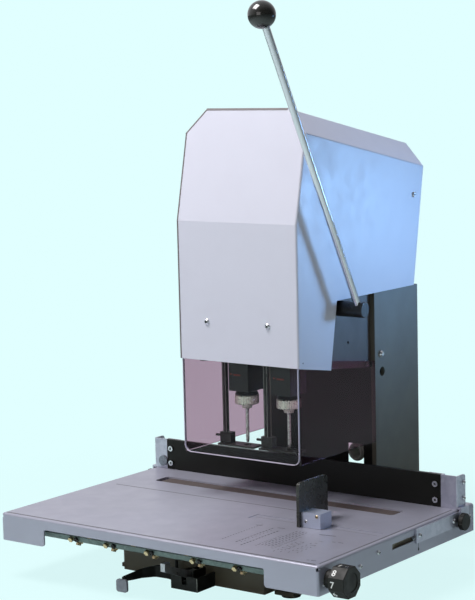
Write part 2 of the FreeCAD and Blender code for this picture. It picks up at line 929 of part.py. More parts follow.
def make_stop_screws():
    screws = []
    for face, shares in enumerate(stop_shares):
        angle = stop_first_angle + 360 / stop_sides * face
        for share in shares:
            tag = "stop_screw_%d" % len(screws)
            owner = prism(tag, "Z", polygon_points(stop_head_d, 6, 0), stop_af / 2, stop_af / 2 + stop_head_h)
            owner.Placement.Rotation = FreeCAD.Rotation(V(1, 0, 0), angle)
            place(owner, stop_first * share, -stop_y, stop_z)
            screws.append(owner)
    group("stop_screws", *screws)


def make_index_knob():
    start = table_right + knob_gap
    face = start + knob_len
    grip = prism("knob_grip", "X", polygon_points(knob_af, knob_sides, 180 / knob_sides), start + knob_collar,
                 face)
    rounded(grip, knob_neck / 2, lambda edge: not along("X")(edge))
    collar = rod("knob_collar_round", "X", knob_collar_d, start, 0, 0, knob_collar + knob_neck)
    bore = rod("knob_bore", "X", journal_d, start - overrun, 0, 0, knob_len * knob_bore_share + overrun)
    dish = turned("knob_dish", [(0, 0), (knob_af * dish_share, 0),
                                (knob_af * dish_share + knob_neck / 2, overrun), (0, overrun)], "X",
                  face - knob_neck / 2, 0, 0)
    made = cut("index_knob_made", joined("knob_solid", grip, collar), bore, dish)
    label(place(made, 0, -stop_y, stop_z), "index_knob")


# Fence

fence_left = table_left + fence_in_left
fence_right = table_right - fence_in_right
arm_in = table_right + gap
arm_out = arm_in + arm_t
bracket_out = arm_out + bracket_t
left_arm_in = table_left - gap
left_arm_out = left_arm_in - arm_t
left_bracket_out = left_arm_out - bracket_t


def make_fence():
    low = table_top + gap
    high = low + fence_h
    back = fence_y + fence_t
    leg_back = fence_y + bracket_leg
    label(prism("fence_plate", "Y", rectangle(fence_left, fence_right, low, high), fence_y, back),
          "fence_plate")
    parts = []
    arm_top = table_top - arm_drop
    for side, way in (("left", -1), ("right", 1)):
        if side == "right":
            edge, rim, inner, outer, far = fence_right, table_right, arm_in, arm_out, bracket_out
        else:
            edge, rim, inner, outer, far = fence_left, table_left, left_arm_in, left_arm_out, left_bracket_out
        sheet = bracket_t * way
        fold = prism("bracket_fold_" + side, "Z",
                     [(edge, fence_y), (rim, fence_y), (rim, leg_back), (rim - sheet, leg_back),
                      (rim - sheet, fence_y + bracket_t), (edge, fence_y + bracket_t)], low, high)

        def bend(item):
            point = item.Vertexes[0].Point
            return along("Z")(item) and close_to(point.x, rim) and close_to(point.y, fence_y)

        def top_corner(item):
            point = item.Vertexes[0].Point
            return along("X")(item) and close_to(point.y, leg_back) and close_to(point.z, high)
        rounded(fold, bracket_t, bend)
        rounded(fold, bracket_corner, top_corner)
        lap = span("bracket_lap_" + side, *ordered(edge, edge - bracket_leg * way), back, back + bracket_t,
                   low, high)
        tie = span("bracket_tie_" + side, *ordered(edge, edge + sheet), fence_y, back + bracket_t, low, high)
        step = span("bracket_step_" + side, *ordered(rim - sheet, far), fence_y, leg_back, low,
                    low + bracket_t)
        leg = span("bracket_side_" + side, *ordered(outer, far), fence_y, leg_back,
                   arm_top - arm_h * leg_share, low + bracket_t)
        low_x, high_x = ordered(inner, outer)
        bar = span("arm_bar_" + side, low_x, high_x, arm_front, arm_back, arm_top - arm_h, arm_top)
        pin_x = ordered(inner - (table_t + arm_t) * way, inner)[0]
        pin = rod("arm_pin_" + side, "X", window_h - gap * 2, pin_x, window_y, table_top - cutout_drop,
                  table_t + arm_t)
        hole = rod("arm_hole_" + side, "X", clamp_stud_d + gap * 2, low_x - overrun, clamp_y, arm_middle(),
                   arm_t + overrun * 2)
        arm = cut("arm_" + side, joined("arm_solid_" + side, bar, pin), hole)
        parts.append(joined("bracket_" + side, fold, lap, tie, step, leg, arm))
    group("fence_brackets", *parts)


def make_fence_screws():
    screws = []
    low = table_top + gap
    side_head_d = screw_head_d * small_head_share
    for x in (fence_left + screw_head_d, fence_right - screw_head_d):
        for share in fence_screw_shares:
            screws.append(small_screw("fence_screw_%d" % len(screws), "Y", x, fence_y - screw_head_h,
                                      low + fence_h * share, screw_head_h, screw_head_d))
    for share in bracket_screw_shares:
        screws.append(small_screw("fence_screw_%d" % len(screws), "X", table_right,
                                  fence_y + bracket_leg * bracket_screw_back_share, low + fence_h * share,
                                  screw_head_h, side_head_d))
    for y in (arm_front + screw_head_d, arm_back / 2):
        screws.append(small_screw("fence_screw_%d" % len(screws), "X", arm_out, y,
                                  table_top - arm_drop - arm_h / 2, screw_head_h * small_head_share,
                                  side_head_d))
    group("fence_screws", *screws)


def make_clamp(side):
    way = 1 if side == "right" else -1
    base = bracket_out if way > 0 else left_bracket_out
    rim = table_right if way > 0 else table_left
    inner = rim - table_t * 2 * way
    grip_start = base + gap * way
    low, high = ordered(grip_start, grip_start + clamp_len * way)
    grip = prism("clamp_grip_" + side, "X", None, low, high, [(0, 0, clamp_d)])
    rounded(grip, gap * 4, lambda edge: True)
    place(grip, 0, clamp_y, arm_middle())
    flutes = []
    for i in range(flute_count):
        angle = math.radians(360 / flute_count * i)
        reach = clamp_d * flute_reach_share
        flutes.append(rod("clamp_flute_%s_%d" % (side, i), "X", clamp_d * flute_share, low - overrun,
                          clamp_y + reach * math.cos(angle), arm_middle() + reach * math.sin(angle),
                          clamp_len + overrun * 2))
    low, high = ordered(inner, grip_start)
    stud = rod("clamp_stud_" + side, "X", clamp_stud_d, low, clamp_y, arm_middle(), high - low)
    nut_x = ordered(inner, inner - table_t * way)[0]
    nut = rod("clamp_nut_" + side, "X", clamp_stud_d * 2, nut_x, clamp_y, arm_middle(), table_t)
    label(joined("clamp_made_" + side, cut("clamp_fluted_" + side, grip, *flutes), stud, nut),
          "clamp_knob_" + side)


# Side stop

def make_side_stop():
    low = table_top + gap
    plate = prism("stop_plate", "X", rectangle(-side_front, side_depth - side_front, low, low + side_h),
                  side_x, side_x + side_t)
    top = (low + side_h).value
    rounded(plate, side_corner, lambda edge: along("X")(edge) and edge.Vertexes[0].Z > top - near.value)
    label(plate, "side_stop_plate")
    start = side_x + side_t
    block = prism("slider_body", "Y", rectangle(start, start + slider_w, low, low + slider_h), -slider_front,
                  slider_depth - slider_front)
    tongue = span("slider_tongue", start, start + slider_w, -track_y - track_w / 2 + gap,
                  -track_y + track_w / 2 - gap, table_top - track_deep + gap, low)
    label(joined("slider_made", block, tongue), "side_stop_block")


# Column

def make_column():
    sides = []
    for side, x in (("left", -column_right), ("right", column_right - column_t)):
        raw = span("column_raw_" + side, x, x + column_t, column_front, column_back, base_top, column_top)
        hole = rod("column_hole_" + side, "X", bolt_hole_d, x - overrun, column_front + bolt_hole_back,
                   bolt_hole_z, column_t + overrun * 2)
        tools = [hole]
        if side == "left":
            tools.append(box("switch_way", x - overrun, switch_y - switch_w / 2 - gap,
                             switch_z - switch_h / 2 - gap, column_t + overrun * 2, switch_w + gap * 2,
                             switch_h + gap * 2))
        sides.append(cut("column_side_" + side, raw, *tools))
    group("column_sides", *sides)
    inner = column_right - column_t
    narrow = plate_in - gap
    step = plate_low_rear - gap
    front = prism("column_front_raw", "Y", [(-inner, base_top), (inner, base_top), (inner, step),
                                            (narrow, step), (narrow, column_top), (-narrow, column_top),
                                            (-narrow, step), (-inner, step)], column_front,
                  column_front + cover_t)
    window = span("spout_window", spout_x - spout_window_w / 2, spout_x + spout_window_w / 2,
                  column_front - overrun, column_front + cover_t + overrun,
                  spout_z - spout_window_low, spout_z + spout_d / 2 + spout_wall)
    rear_sheet = span("column_rear_sheet", -inner, inner, column_back - cover_t, column_back, rear_open,
                      column_top)
    rear_flange = span("column_rear_flange", -inner, inner, hood_side_y + gap, column_back,
                       column_top - cover_t, column_top)
    rear = joined("column_rear_raw", rear_sheet, rear_flange)
    way = span("inlet_way", inlet_x - inlet_w / 2, inlet_x + inlet_w / 2, column_back - cover_t - overrun,
               column_back + overrun, inlet_z - inlet_h / 2, inlet_z + inlet_h / 2)
    group("column_covers", cut("column_front_made", front, window), cut("column_rear_made", rear, way))


def make_spout():
    low = column_front + cover_t
    tube = turned("spout_tube", tube_points(spout_d - spout_wall * 2, spout_d, 0, spout_len), "Y", spout_x,
                  low - spout_len / 6, spout_z)
    flange = turned("spout_flange", tube_points(spout_d - spout_wall * 2, spout_d + spout_wall * 3, 0,
                                                spout_wall), "Y", spout_x, low, spout_z)
    label(joined("spout_made", tube, flange), "chip_spout")


# Head frame

def make_head_plates():
    plates = []
    points = [(-plate_front, plate_low_front), (column_front, plate_low_rear), (plate_back, plate_low_rear),
              (plate_back, column_top), (plate_back + plate_lean, plate_top_rear),
              (-plate_front, plate_top_front)]
    for side, x in (("left", -plate_x), ("right", plate_in)):
        raw = prism("head_plate_raw_" + side, "X", points, x, x + plate_t)
        bore = rod("shaft_bore_" + side, "X", shaft_d + run_fit * 2, x - overrun, shaft_y, shaft_z,
                   plate_t + overrun * 2)
        sight = rod("sight_hole_" + side, "X", screw_d, x - overrun, shaft_y + gear_r * sight_shares[0],
                    shaft_z + gear_r * sight_shares[1], plate_t + overrun * 2)
        plates.append(cut("head_plate_" + side, raw, bore, sight))
    group("head_plates", *plates)


def make_bridges():
    low_raw = span("low_bridge_raw", -plate_in, plate_in, rod_y - rod_d / 2 - bridge_t / 5, rod_y + ear_d,
                   low_bridge_z, low_bridge_z + bridge_t)
    clear_x = block_right + gap * 4
    low_way = span("low_bridge_way", -clear_x, clear_x, rod_y - ear_d, block_front + carriage_t + gap * 4,
                   low_bridge_z - overrun, low_bridge_z + bridge_t + overrun)
    low_holes = [rod("low_rod_hole_%d" % i, "Z", rod_d, rod_x * way, rod_y, low_bridge_z - overrun,
                     bridge_t + overrun * 2) for i, way in enumerate((-1, 1))]
    low = cut("low_bridge", low_raw, low_way, *low_holes)
    high_raw = span("high_bridge_raw", -plate_in, plate_in, -rod_y * high_bridge_front_share, rod_y + ear_d,
                    high_bridge_z, high_bridge_z + bridge_t)
    high_holes = [rod("high_rod_hole_%d" % i, "Z", rod_d, rod_x * way, rod_y, high_bridge_z - overrun,
                      bridge_t + overrun * 2) for i, way in enumerate((-1, 1))]
    hub_holes = [rod("hub_hole_%d" % i, "Z", (hub_r + run_fit) * 2, drill_x * way, 0, high_bridge_z - overrun,
                     bridge_t + overrun * 2) for i, way in enumerate((-1, 1))]
    high = cut("high_bridge", high_raw, *high_holes, *hub_holes)
    shelf_raw = span("motor_shelf_raw", -plate_in, plate_in, motor_y - motor_d * shelf_share,
                     motor_y + motor_d * shelf_share, motor_plate_z, motor_plate_z + motor_plate_t)
    shelf_hole = rod("motor_shelf_hole", "Z", motor_shaft_d * 2, 0, motor_y, motor_plate_z - overrun,
                     motor_plate_t + overrun * 2)
    group("head_bridges", low, high, cut("motor_shelf", shelf_raw, shelf_hole))


def make_guide_rods():
    rods = [rod("guide_rod_%d" % i, "Z", rod_d, rod_x * way, rod_y, low_bridge_z,
                high_bridge_z + bridge_t - low_bridge_z) for i, way in enumerate((-1, 1))]
    group("guide_rods", *rods)


# Motor, rotor, pulleys and belt

def make_motor():
    low = motor_plate_z - motor_len
    drum = turned("motor_drum", [(0, 0), (motor_d / 2 * motor_end_share, 0),
                                 (motor_d / 2, motor_d * motor_round_share), (motor_d / 2, motor_len),
                                 (motor_shaft_d, motor_len), (motor_shaft_d, motor_len - overrun),
                                 (0, motor_len - overrun)], "Z", 0, motor_y, low)
    fins = []
    for i in range(fin_count):
        angle = 360 / fin_count * i
        fin = doc.addObject("Part::Box", "fin_gap_%d" % i)
        bind(fin, "Length", fin_deep * 2)
        bind(fin, "Width", fin_w)
        bind(fin, "Height", motor_len * fin_share)
        fin.Placement.Rotation = FreeCAD.Rotation(V(0, 0, 1), angle)
        cosine, sine = math.cos(math.radians(angle)), math.sin(math.radians(angle))
        reach = motor_d / 2 - fin_deep
        place(fin, reach * cosine + fin_w / 2 * sine, motor_y + reach * sine - fin_w / 2 * cosine,
              low + motor_len * fin_start_share)
        fins.append(fin)
    label(cut("motor_made", drum, *fins), "motor_body")


def pulley_points(groove, hub, hub_top, bore):
    rim = groove + flange_rise
    high = pulley_h
    return [(bore / 2, 0), (rim, 0), (rim, flange_t), (groove, flange_t), (groove, high - flange_t),
            (rim, high - flange_t), (rim, high), (hub, high), (hub, high + hub_top),
            (bore / 2, high + hub_top)]


def make_rotor():
    shaft = rod("motor_shaft", "Z", motor_shaft_d, 0, motor_y, motor_plate_z - overrun + gap,
                pulley_z + pulley_h + hub_rise / 2 - motor_plate_z + overrun - gap)
    wheel = turned("motor_pulley", pulley_points(motor_pulley_r, hub_r, hub_rise / 2, motor_shaft_d), "Z", 0,
                   motor_y, pulley_z)
    group("motor_rotor", shaft, wheel)


def make_spindle_pulley(side):
    x = -drill_x if side == "left" else drill_x
    wheel = turned("pulley_wheel_" + side, pulley_points(pulley_r, hub_r, hub_rise, spindle_d + run_fit * 2),
                   "Z", x, 0, pulley_z)
    label(wheel, "spindle_pulley_" + side)


# The belt is the outline round three circles: two spindle pulleys and the motor pulley.

def belt_loop(extra):
    circles = [(V(drill_x.value, 0, 0), pulley_r.value + extra),
               (V(0, motor_y.value, 0), motor_pulley_r.value + extra),
               (V(-drill_x.value, 0, 0), pulley_r.value + extra)]
    edges = []
    touches = []
    for i, (centre, radius) in enumerate(circles):
        other, other_radius = circles[(i + 1) % 3]
        run = other - centre
        base = math.atan2(run.y, run.x)
        tilt = math.acos((radius - other_radius) / run.Length)
        angle = base - tilt
        normal = V(math.cos(angle), math.sin(angle), 0)
        touches.append((centre + normal * radius, other + normal * other_radius))
    for i, (centre, radius) in enumerate(circles):
        arrive = touches[i - 1][1]
        leave = touches[i][0]
        middle = (arrive - centre) + (leave - centre)
        edges.append(Part.Arc(arrive, centre + middle.normalize() * radius, leave).toShape())
        edges.append(Part.makeLine(leave, touches[i][1]))
    return Part.Wire(edges)


def make_belt():
    outer = Part.Face(belt_loop(gap.value + belt_t.value))
    inner = Part.Face(belt_loop(gap.value))
    band = outer.cut(inner).extrude(V(0, 0, belt_w.value))
    belt = feature("drive_belt", band)
    place(belt, 0, 0, pulley_z + (pulley_h - belt_w) / 2)


# Spindles, chucks and drills

def make_spindle(side):
    x = -drill_x if side == "left" else drill_x
    low = chuck_low + chuck_h + chuck_neck_h
    shaft = turned("spindle_" + side, tube_points(spindle_bore_d, spindle_d, 0, spindle_top - low), "Z", x, 0,
                   low)
    label(shaft, "spindle_shaft_" + side)
    rim = chuck_d / 2
    edge = chuck_h * chuck_bevel_share
    points = [(drill_bore_d / 2, 0), (cone_d / 2, 0), (cone_d / 2 + cone_h / 4, cone_h), (rim - edge, cone_h),
              (rim, cone_h + edge), (rim, cone_h + chuck_h - edge), (rim - edge, cone_h + chuck_h),
              (chuck_neck_d / 2, cone_h + chuck_h), (chuck_neck_d / 2, cone_h + chuck_h + chuck_neck_h),
              (drill_bore_d / 2, cone_h + chuck_h + chuck_neck_h)]
    chuck = turned("chuck_" + side, points, "Z", x, 0, chuck_low - cone_h)
    flutes = []
    for i in range(knurl_count):
        angle = math.radians(360 / knurl_count * i)
        flutes.append(rod("flute_%s_%d" % (side, i), "Z", chuck_d * knurl_share, x + rim * math.cos(angle),
                          rim * math.sin(angle), chuck_low - overrun, chuck_h + overrun * 2))
    label(cut("chuck_made_" + side, chuck, *flutes), "chuck_" + side)
    top = chuck_low - cone_h - drill_tip
    wall = drill_d / 2
    points = [(drill_bore_d / 2, 0), (wall, drill_d), (wall, top - drill_collar_d / 2),
              (drill_collar_d / 2, top), (drill_bore_d / 2, top)]
    label(turned("drill_" + side, points, "Z", x, 0, drill_tip), "drill_bit_" + side)


# Spindle blocks with their bearings, the carriage and its bushes

def make_blocks():
    blocks = []
    bearings = []
    for side, way in (("left", -1), ("right", 1)):
        x = drill_x * way
        raw = prism("block_raw_" + side, "Z", rectangle(x - block_side / 2, x + block_side / 2, -block_front,
                                                        block_front), housing_low, housing_high)
        rounded(raw, gap * 5, along("Z"))
        bore = rod("block_bore_" + side, "Z", spindle_d + gap * 4, x, 0, housing_low - overrun,
                   housing_high - housing_low + overrun * 2)
        seats = [rod("block_seat_%s_%d" % (side, i), "Z", bearing_d, x, 0, z, bearing_h + overrun)
                 for i, z in enumerate((housing_low - overrun, housing_high - bearing_h))]
        body_block = cut("block_bored_" + side, raw, bore, *seats)
        post_x = x - post_off
        lug = span("post_lug_" + side, post_x - post_w / 2 - guide_wall, x - block_side / 2,
                   -post_depth / 2 - guide_wall, post_depth / 2 + guide_wall, guide_low, guide_high)
        lug_hole = span("post_way_" + side, post_x - post_w / 2 - gap, post_x + post_w / 2 + gap,
                        -post_depth / 2 - gap, post_depth / 2 + gap, guide_low - overrun,
                        guide_high + overrun)
        blocks.append(joined("spindle_block_" + side, body_block, cut("post_guide_" + side, lug, lug_hole)))
        for i, z in enumerate((housing_low, housing_high - bearing_h)):
            bearings.append(turned("bearing_%s_%d" % (side, i),
                                   tube_points(spindle_d + run_fit * 2, bearing_d, 0, bearing_h), "Z", x, 0,
                                   z))
    group("spindle_blocks", *blocks)
    for i, way in enumerate((-1, 1)):
        bearings.append(turned("bush_%d" % i, tube_points(rod_d + run_fit * 2, bush_d, 0, ear_high - ear_low),
                               "Z", rod_x * way, rod_y, ear_low))
    group("head_bearings", *bearings)


def make_carriage():
    plate = span("carriage_plate", -block_right, block_right, block_front, block_front + carriage_t,
                 carriage_low, ear_high)
    parts = [plate]
    holes = []
    for i, way in enumerate((-1, 1)):
        parts.append(rod("ear_%d" % i, "Z", ear_d, rod_x * way, rod_y, ear_low, ear_high - ear_low))
        parts.append(span("ear_web_%d" % i, *ordered(rod_x * way, block_right * way), block_front,
                          block_front + carriage_t, ear_low, ear_high))
        holes.append(rod("ear_bore_%d" % i, "Z", bush_d, rod_x * way, rod_y, ear_low - overrun,
                         ear_high - ear_low + overrun * 2))
    label(cut("carriage_made", joined("carriage_joined", *parts), *holes), "head_carriage")


# Rack and sector: straight-sided rack teeth and involute sector teeth of one module.

gear_module = gear_r * 2 / gear_teeth
PRESSURE = math.radians(20)
flank_steps = 5
first_tooth = -1
last_sector_tooth = 10
last_rack_tooth = 9


def involute_tooth(module, teeth, play):
    pitch_r = module * teeth / 2
    base_r = pitch_r * math.cos(PRESSURE)
    tip_r = pitch_r + module
    root_r = pitch_r - module * root_share
    spread = math.tan(PRESSURE) - PRESSURE
    half = math.pi / (2 * teeth) - play / (4 * pitch_r)
    flank = []
    for i in range(flank_steps + 1):
        radius = base_r + (tip_r - base_r) * i / flank_steps
        angle = math.acos(base_r / radius)
        turn = half + spread - (math.tan(angle) - angle)
        flank.append((radius, turn))
    points = [(root_r, flank[0][1])] + flank
    upper = [V(0, -r * math.cos(a), r * math.sin(a)) for r, a in points]
    lower = [V(0, p.y, -p.z) for p in reversed(upper)]
    return upper + lower


def make_sector():
    module = gear_module.value
    start_x = block_right.value + gear_inset.value
    thick = gear_t.value
    root_r = gear_r.value - module * root_share
    pitch_angle = 360 / gear_teeth
    disc = Part.makeCylinder(root_r, thick, V(0, 0, 0), V(1, 0, 0))
    wedge_points = [V(0, 0, 0)]
    for i in range(first_tooth * 2 - 1, last_sector_tooth * 2 + 2, 2):
        angle = math.radians(pitch_angle * i / 2)
        reach = root_r * wedge_share
        wedge_points.append(V(0, -reach * math.cos(angle), reach * math.sin(angle)))
    wedge_points.append(wedge_points[0])
    wedge = Part.Face(Part.makePolygon(wedge_points)).extrude(V(thick, 0, 0))
    shape = disc.common(wedge)
    shape = shape.fuse(Part.makeCylinder(gear_hub_d.value / 2, thick, V(0, 0, 0), V(1, 0, 0)))
    tooth_points = involute_tooth(module, gear_teeth, tooth_play.value)
    tooth_points.append(tooth_points[0])
    seat_share, deep_share, over_share, wide_share, half_share = web_shares
    corner = V(0, -root_r * (seat_share + over_share), -module * half_share)
    tooth = Part.Face(Part.makePolygon(tooth_points)).extrude(V(thick, 0, 0))
    tooth = tooth.fuse(Part.makeBox(thick, root_r * deep_share, module * wide_share, corner))
    for i in range(first_tooth, last_sector_tooth + 1):
        copy = tooth.copy()
        copy.rotate(V(0, 0, 0), V(1, 0, 0), -pitch_angle * i)
        shape = shape.fuse(copy)
    shape = shape.cut(Part.makeCylinder(shaft_d.value / 2, thick, V(0, 0, 0), V(1, 0, 0)))
    sector = feature("feed_sector", shape.removeSplitter())
    place(sector, block_right + gear_inset, shaft_y, shaft_z)


def make_rack():
    module = gear_module.value
    pitch = module * math.pi
    top = module
    root = -module * root_share
    slope = math.tan(PRESSURE)
    half = pitch / 4 - tooth_play.value / 4
    start = (first_tooth - rack_end_shares[0]) * pitch
    end = (last_rack_tooth + rack_end_shares[1]) * pitch
    points = [V(0, root - rack_back.value, start), V(0, root, start)]
    for i in range(first_tooth, last_rack_tooth + 1):
        centre = (i * 2 - 1) * pitch / 2
        for depth, way in ((root, -1), (top, -1), (top, 1), (root, 1)):
            points.append(V(0, depth, centre + way * (half - depth * slope)))
    points.append(V(0, root, end))
    points.append(V(0, root - rack_back.value, end))
    points.append(points[0])
    bar = Part.Face(Part.makePolygon(points)).extrude(V(rack_t.value, 0, 0))
    rack = feature("feed_rack", bar)
    place(rack, block_right, shaft_y - gear_r, shaft_z)


# Hold-down posts and presser feet

def make_hold_down():
    posts = []
    feet = []
    for side, way in (("left", -1), ("right", 1)):
        x = drill_x * way - post_off
        tall = prism("post_" + side, "Z", rectangle(x - post_w / 2, x + post_w / 2, -post_depth / 2,
                                                    post_depth / 2), foot_low, guide_high + gap + guide_wall)
        rounded(tall, gap * 4, along("Z"))
        rests = [span("post_%s_%s" % (tag, side), x - post_w / 2 - guide_wall, x + post_w / 2 + guide_wall,
                      -post_depth / 2 - guide_wall, post_depth / 2 + guide_wall, z, z + guide_wall)
                 for tag, z in (("collar", collar_z), ("cap", guide_high + gap))]
        posts.append(joined("hold_down_post_" + side, tall, *rests))
        block = span("presser_block_" + side, x - post_w / 2 - guide_wall, x + clampblock_w,
                     -clampblock_d / 2, clampblock_d / 2, foot_low + presser_t,
                     foot_low + presser_t + clampblock_h)
        plate = span("presser_plate_" + side, x - post_w / 2 - guide_wall, x + presser_len,
                     -presser_depth / 2, presser_depth / 2, foot_low, foot_low + presser_t)
        way_up = span("presser_way_" + side, x - post_w / 2, x + post_w / 2, -post_depth / 2, post_depth / 2,
                      foot_low - overrun, foot_low + clampblock_h * 2)
        hole = rod("presser_hole_" + side, "Z", presser_hole_d, drill_x * way, 0, foot_low - overrun,
                   presser_t + overrun * 2)
        prong = rod("presser_prong_" + side, "X", prong_d, x - post_w / 2 - guide_wall - prong_len, 0,
                    foot_low + presser_t + clampblock_h * prong_share, prong_len)
        feet.append(joined("presser_" + side, cut("presser_foot_" + side,
                                                  joined("presser_solid_" + side, block, plate), way_up,
                                                  hole), prong))
    group("hold_down_posts", *posts)
    group("presser_feet", *feet)


# Springs: each quarter turn of the helix is two arcs that share a tangent.

def tangent_arc(start, tangent, end):
    chord = end - start
    unit = V(chord)
    unit.normalize()
    side = tangent - unit * tangent.dot(unit)
    bulge = math.tan(math.acos(max(-1.0, min(1.0, tangent.dot(unit)))) / 2) * chord.Length / 2
    side.normalize()
    return Part.Arc(start, start + chord * 0.5 + side * bulge, end).toShape()


def helix_wire(radius, height, turns):
    pitch = height / turns
    steps = int(turns * 4)
    edges = []

    def point(i):
        angle = math.pi / 2 * i
        return V(radius * math.cos(angle), radius * math.sin(angle), pitch * i / 4)

    def tangent(i):
        angle = math.pi / 2 * i
        run = V(-radius * math.sin(angle), radius * math.cos(angle), pitch / (2 * math.pi))
        run.normalize()
        return run

    for i in range(steps):
        start, end = point(i), point(i + 1)
        leave, arrive = tangent(i), tangent(i + 1)
        chord = end - start
        total = leave + arrive
        dot = leave.dot(arrive)
        lead = chord.dot(total)
        arm = (-lead + math.sqrt(lead * lead + 2 * (1 - dot) * chord.dot(chord))) / (2 * (1 - dot))
        middle = (start + leave * arm + end - arrive * arm) * 0.5
        way = (end - arrive * arm) - (start + leave * arm)
        way.normalize()
        edges.append(tangent_arc(start, leave, middle))
        edges.append(tangent_arc(middle, way, end))
    return Part.Wire(edges)


def coil(across, wire, height, turns, name):
    radius = (across.value - wire.value) / 2
    rise = height.value - wire.value
    path = helix_wire(radius, rise, turns)
    start = V(radius, 0, 0)
    way = V(0, radius, rise / turns / (2 * math.pi))
    profile = Part.Wire([Part.Circle(start, way, wire.value / 2).toShape()])
    print(name, "gap between turns", round(rise / turns - wire.value, 2))
    return path.makePipeShell([profile], True, False)


def make_return_springs():
    low = low_bridge_z + bridge_t
    height = ear_low - low - gap * 2
    springs = []
    for i, way in enumerate((-1, 1)):
        spring = feature("return_spring_%d" % i, coil(spring_d, spring_wire, height, spring_turns,
                                                      "return spring"))
        place(spring, rod_x * way, rod_y, low + gap + spring_wire / 2)
        springs.append(spring)
    group("return_springs", *springs)


def make_post_springs():
    low = collar_z + guide_wall
    height = guide_low - low - gap * 2
    springs = []
    for i, way in enumerate((-1, 1)):
        spring = feature("post_spring_%d" % i, coil(post_spring_d, post_wire, height, post_turns,
                                                    "hold-down spring"))
        place(spring, drill_x * way - post_off, 0, low + gap + post_wire / 2)
        springs.append(spring)
    group("hold_down_springs", *springs)


# Feed lever

def leaned(obj):
    obj.Placement.Rotation = FreeCAD.Rotation(V(1, 0, 0), lever_lean.value)
    bind(obj, "Placement.Rotation.Angle", lever_lean)
    return place(obj, lever_x, shaft_y, shaft_z)


def make_lever():
    hub_start = plate_x + gap
    shaft = rod("lever_shaft", "X", shaft_d, -plate_x - shaft_d / 2, shaft_y, shaft_z,
                plate_x + shaft_d / 2 + lever_hub_end - lever_hub_d)
    label(shaft, "lever_shaft")
    hub = prism("lever_hub_body", "X", None, hub_start, lever_hub_end, [(0, 0, lever_hub_d)])
    rounded(hub, gap * 5, lambda edge: close_to(edge.Vertexes[0].X, lever_hub_end))
    place(hub, 0, shaft_y, shaft_z)
    bore = rod("hub_bore", "X", shaft_d, hub_start - overrun, shaft_y, shaft_z,
               lever_hub_end - lever_hub_d - hub_start + overrun)
    hole = leaned(turned("hub_hole", tube_points(0, lever_rod_d, -lever_hub_d / 4, lever_hub_d), "Z", 0, 0,
                         0))
    label(cut("lever_hub_made", hub, bore, hole), "lever_hub")
    end = lever_len - ball_d / 4
    bar = turned("lever_bar", tube_points(0, lever_rod_d, -lever_hub_d / 4, end), "Z", 0, 0, 0)
    label(leaned(bar), "lever_rod")
    ball = doc.addObject("Part::Sphere", "ball_round")
    bind(ball, "Radius", ball_d / 2)
    place(ball, 0, 0, lever_len)
    flat = span("ball_flat", -ball_d, ball_d, -ball_d, ball_d, lever_len - ball_d,
                lever_len - ball_d * ball_flat_share)
    socket = rod("ball_socket", "Z", lever_rod_d, 0, 0, lever_len - ball_d, ball_d * ball_socket_share)
    label(leaned(cut("ball_made", ball, flat, socket)), "lever_knob")


# Hood, its rear cover, guards and panel screws

def hood_points():
    return [(-hood_front, hood_low), (strip_low_y, strip_low_z), (strip_top_y, hood_side_z),
            (hood_side_y, hood_side_z), (hood_back_y, hood_back_z), (-hood_top_y, hood_top_z),
            (-hood_front, hood_fold)]


def on_open_edge(point):
    low = [(-hood_front, hood_low), (strip_low_y, strip_low_z), (strip_top_y, hood_side_z),
           (hood_side_y, hood_side_z)]
    return any(close_to(point.y, y) and close_to(point.z, z) for y, z in low)


def on_rear(point):
    share = (point.z - hood_side_z.value) / (hood_back_z.value - hood_side_z.value)
    return close_to(point.y, hood_side_y + (hood_back_y - hood_side_y) * share)


def make_hood():
    hood = prism("hood", "X", hood_points(), -hood_half, hood_half)
    pad = hood.Tip
    shoulders = []
    for i, edge in enumerate(pad.Shape.Edges):
        ends = [vertex.Point for vertex in edge.Vertexes]
        flat = close_to(ends[0].x, ends[1].x)
        if flat and on_rear(max(ends, key=lambda p: p.y)) and close_to(max(p.z for p in ends), hood_top_z):
            shoulders.append("Edge%d" % (i + 1))
    chamfer = hood.newObject("PartDesign::Chamfer", "hood_shoulders")
    chamfer.Base = (pad, shoulders)
    chamfer.ChamferType = "Two distances"
    bind(chamfer, "Size", shoulder_across)
    bind(chamfer, "Size2", shoulder_down)
    hood.Tip = chamfer
    doc.recompute()
    faces = []
    for i, face in enumerate(chamfer.Shape.Faces):
        points = [vertex.Point for vertex in face.Vertexes]
        if all(on_open_edge(p) for p in points) or all(on_rear(p) for p in points):
            faces.append("Face%d" % (i + 1))
    wall = hood.newObject("PartDesign::Thickness", "hood_wall")
    wall.Base = (chamfer, faces)
    bind(wall, "Value", hood_t)
    wall.Mode = 0
    wall.Join = 1
    wall.Reversed = True
    hood.Tip = wall
    doc.recompute()
    outer = chamfer.Shape

    def fold(edge):
        ends = [vertex.Point for vertex in edge.Vertexes]
        if len(ends) != 2 or (on_rear(ends[0]) and on_rear(ends[1])):
            return False
        if on_open_edge(ends[0]) and on_open_edge(ends[1]):
            return False
        centre = edge.BoundBox.Center
        return min(corner.distToShape(Part.Vertex(centre))[0] for corner in outer.Edges) < near.value / 4
    rounded(hood, hood_bend, fold)
    tools = []
    for i, way in enumerate((-1, 1)):
        tools.append(rod("hood_screw_hole_%d" % i, "Y", screw_d, hood_screw_x * way, -hood_front - overrun,
                         hood_screw_z, overrun * 2))
    label(cut("hood_made", hood, *tools), "hood_shell")


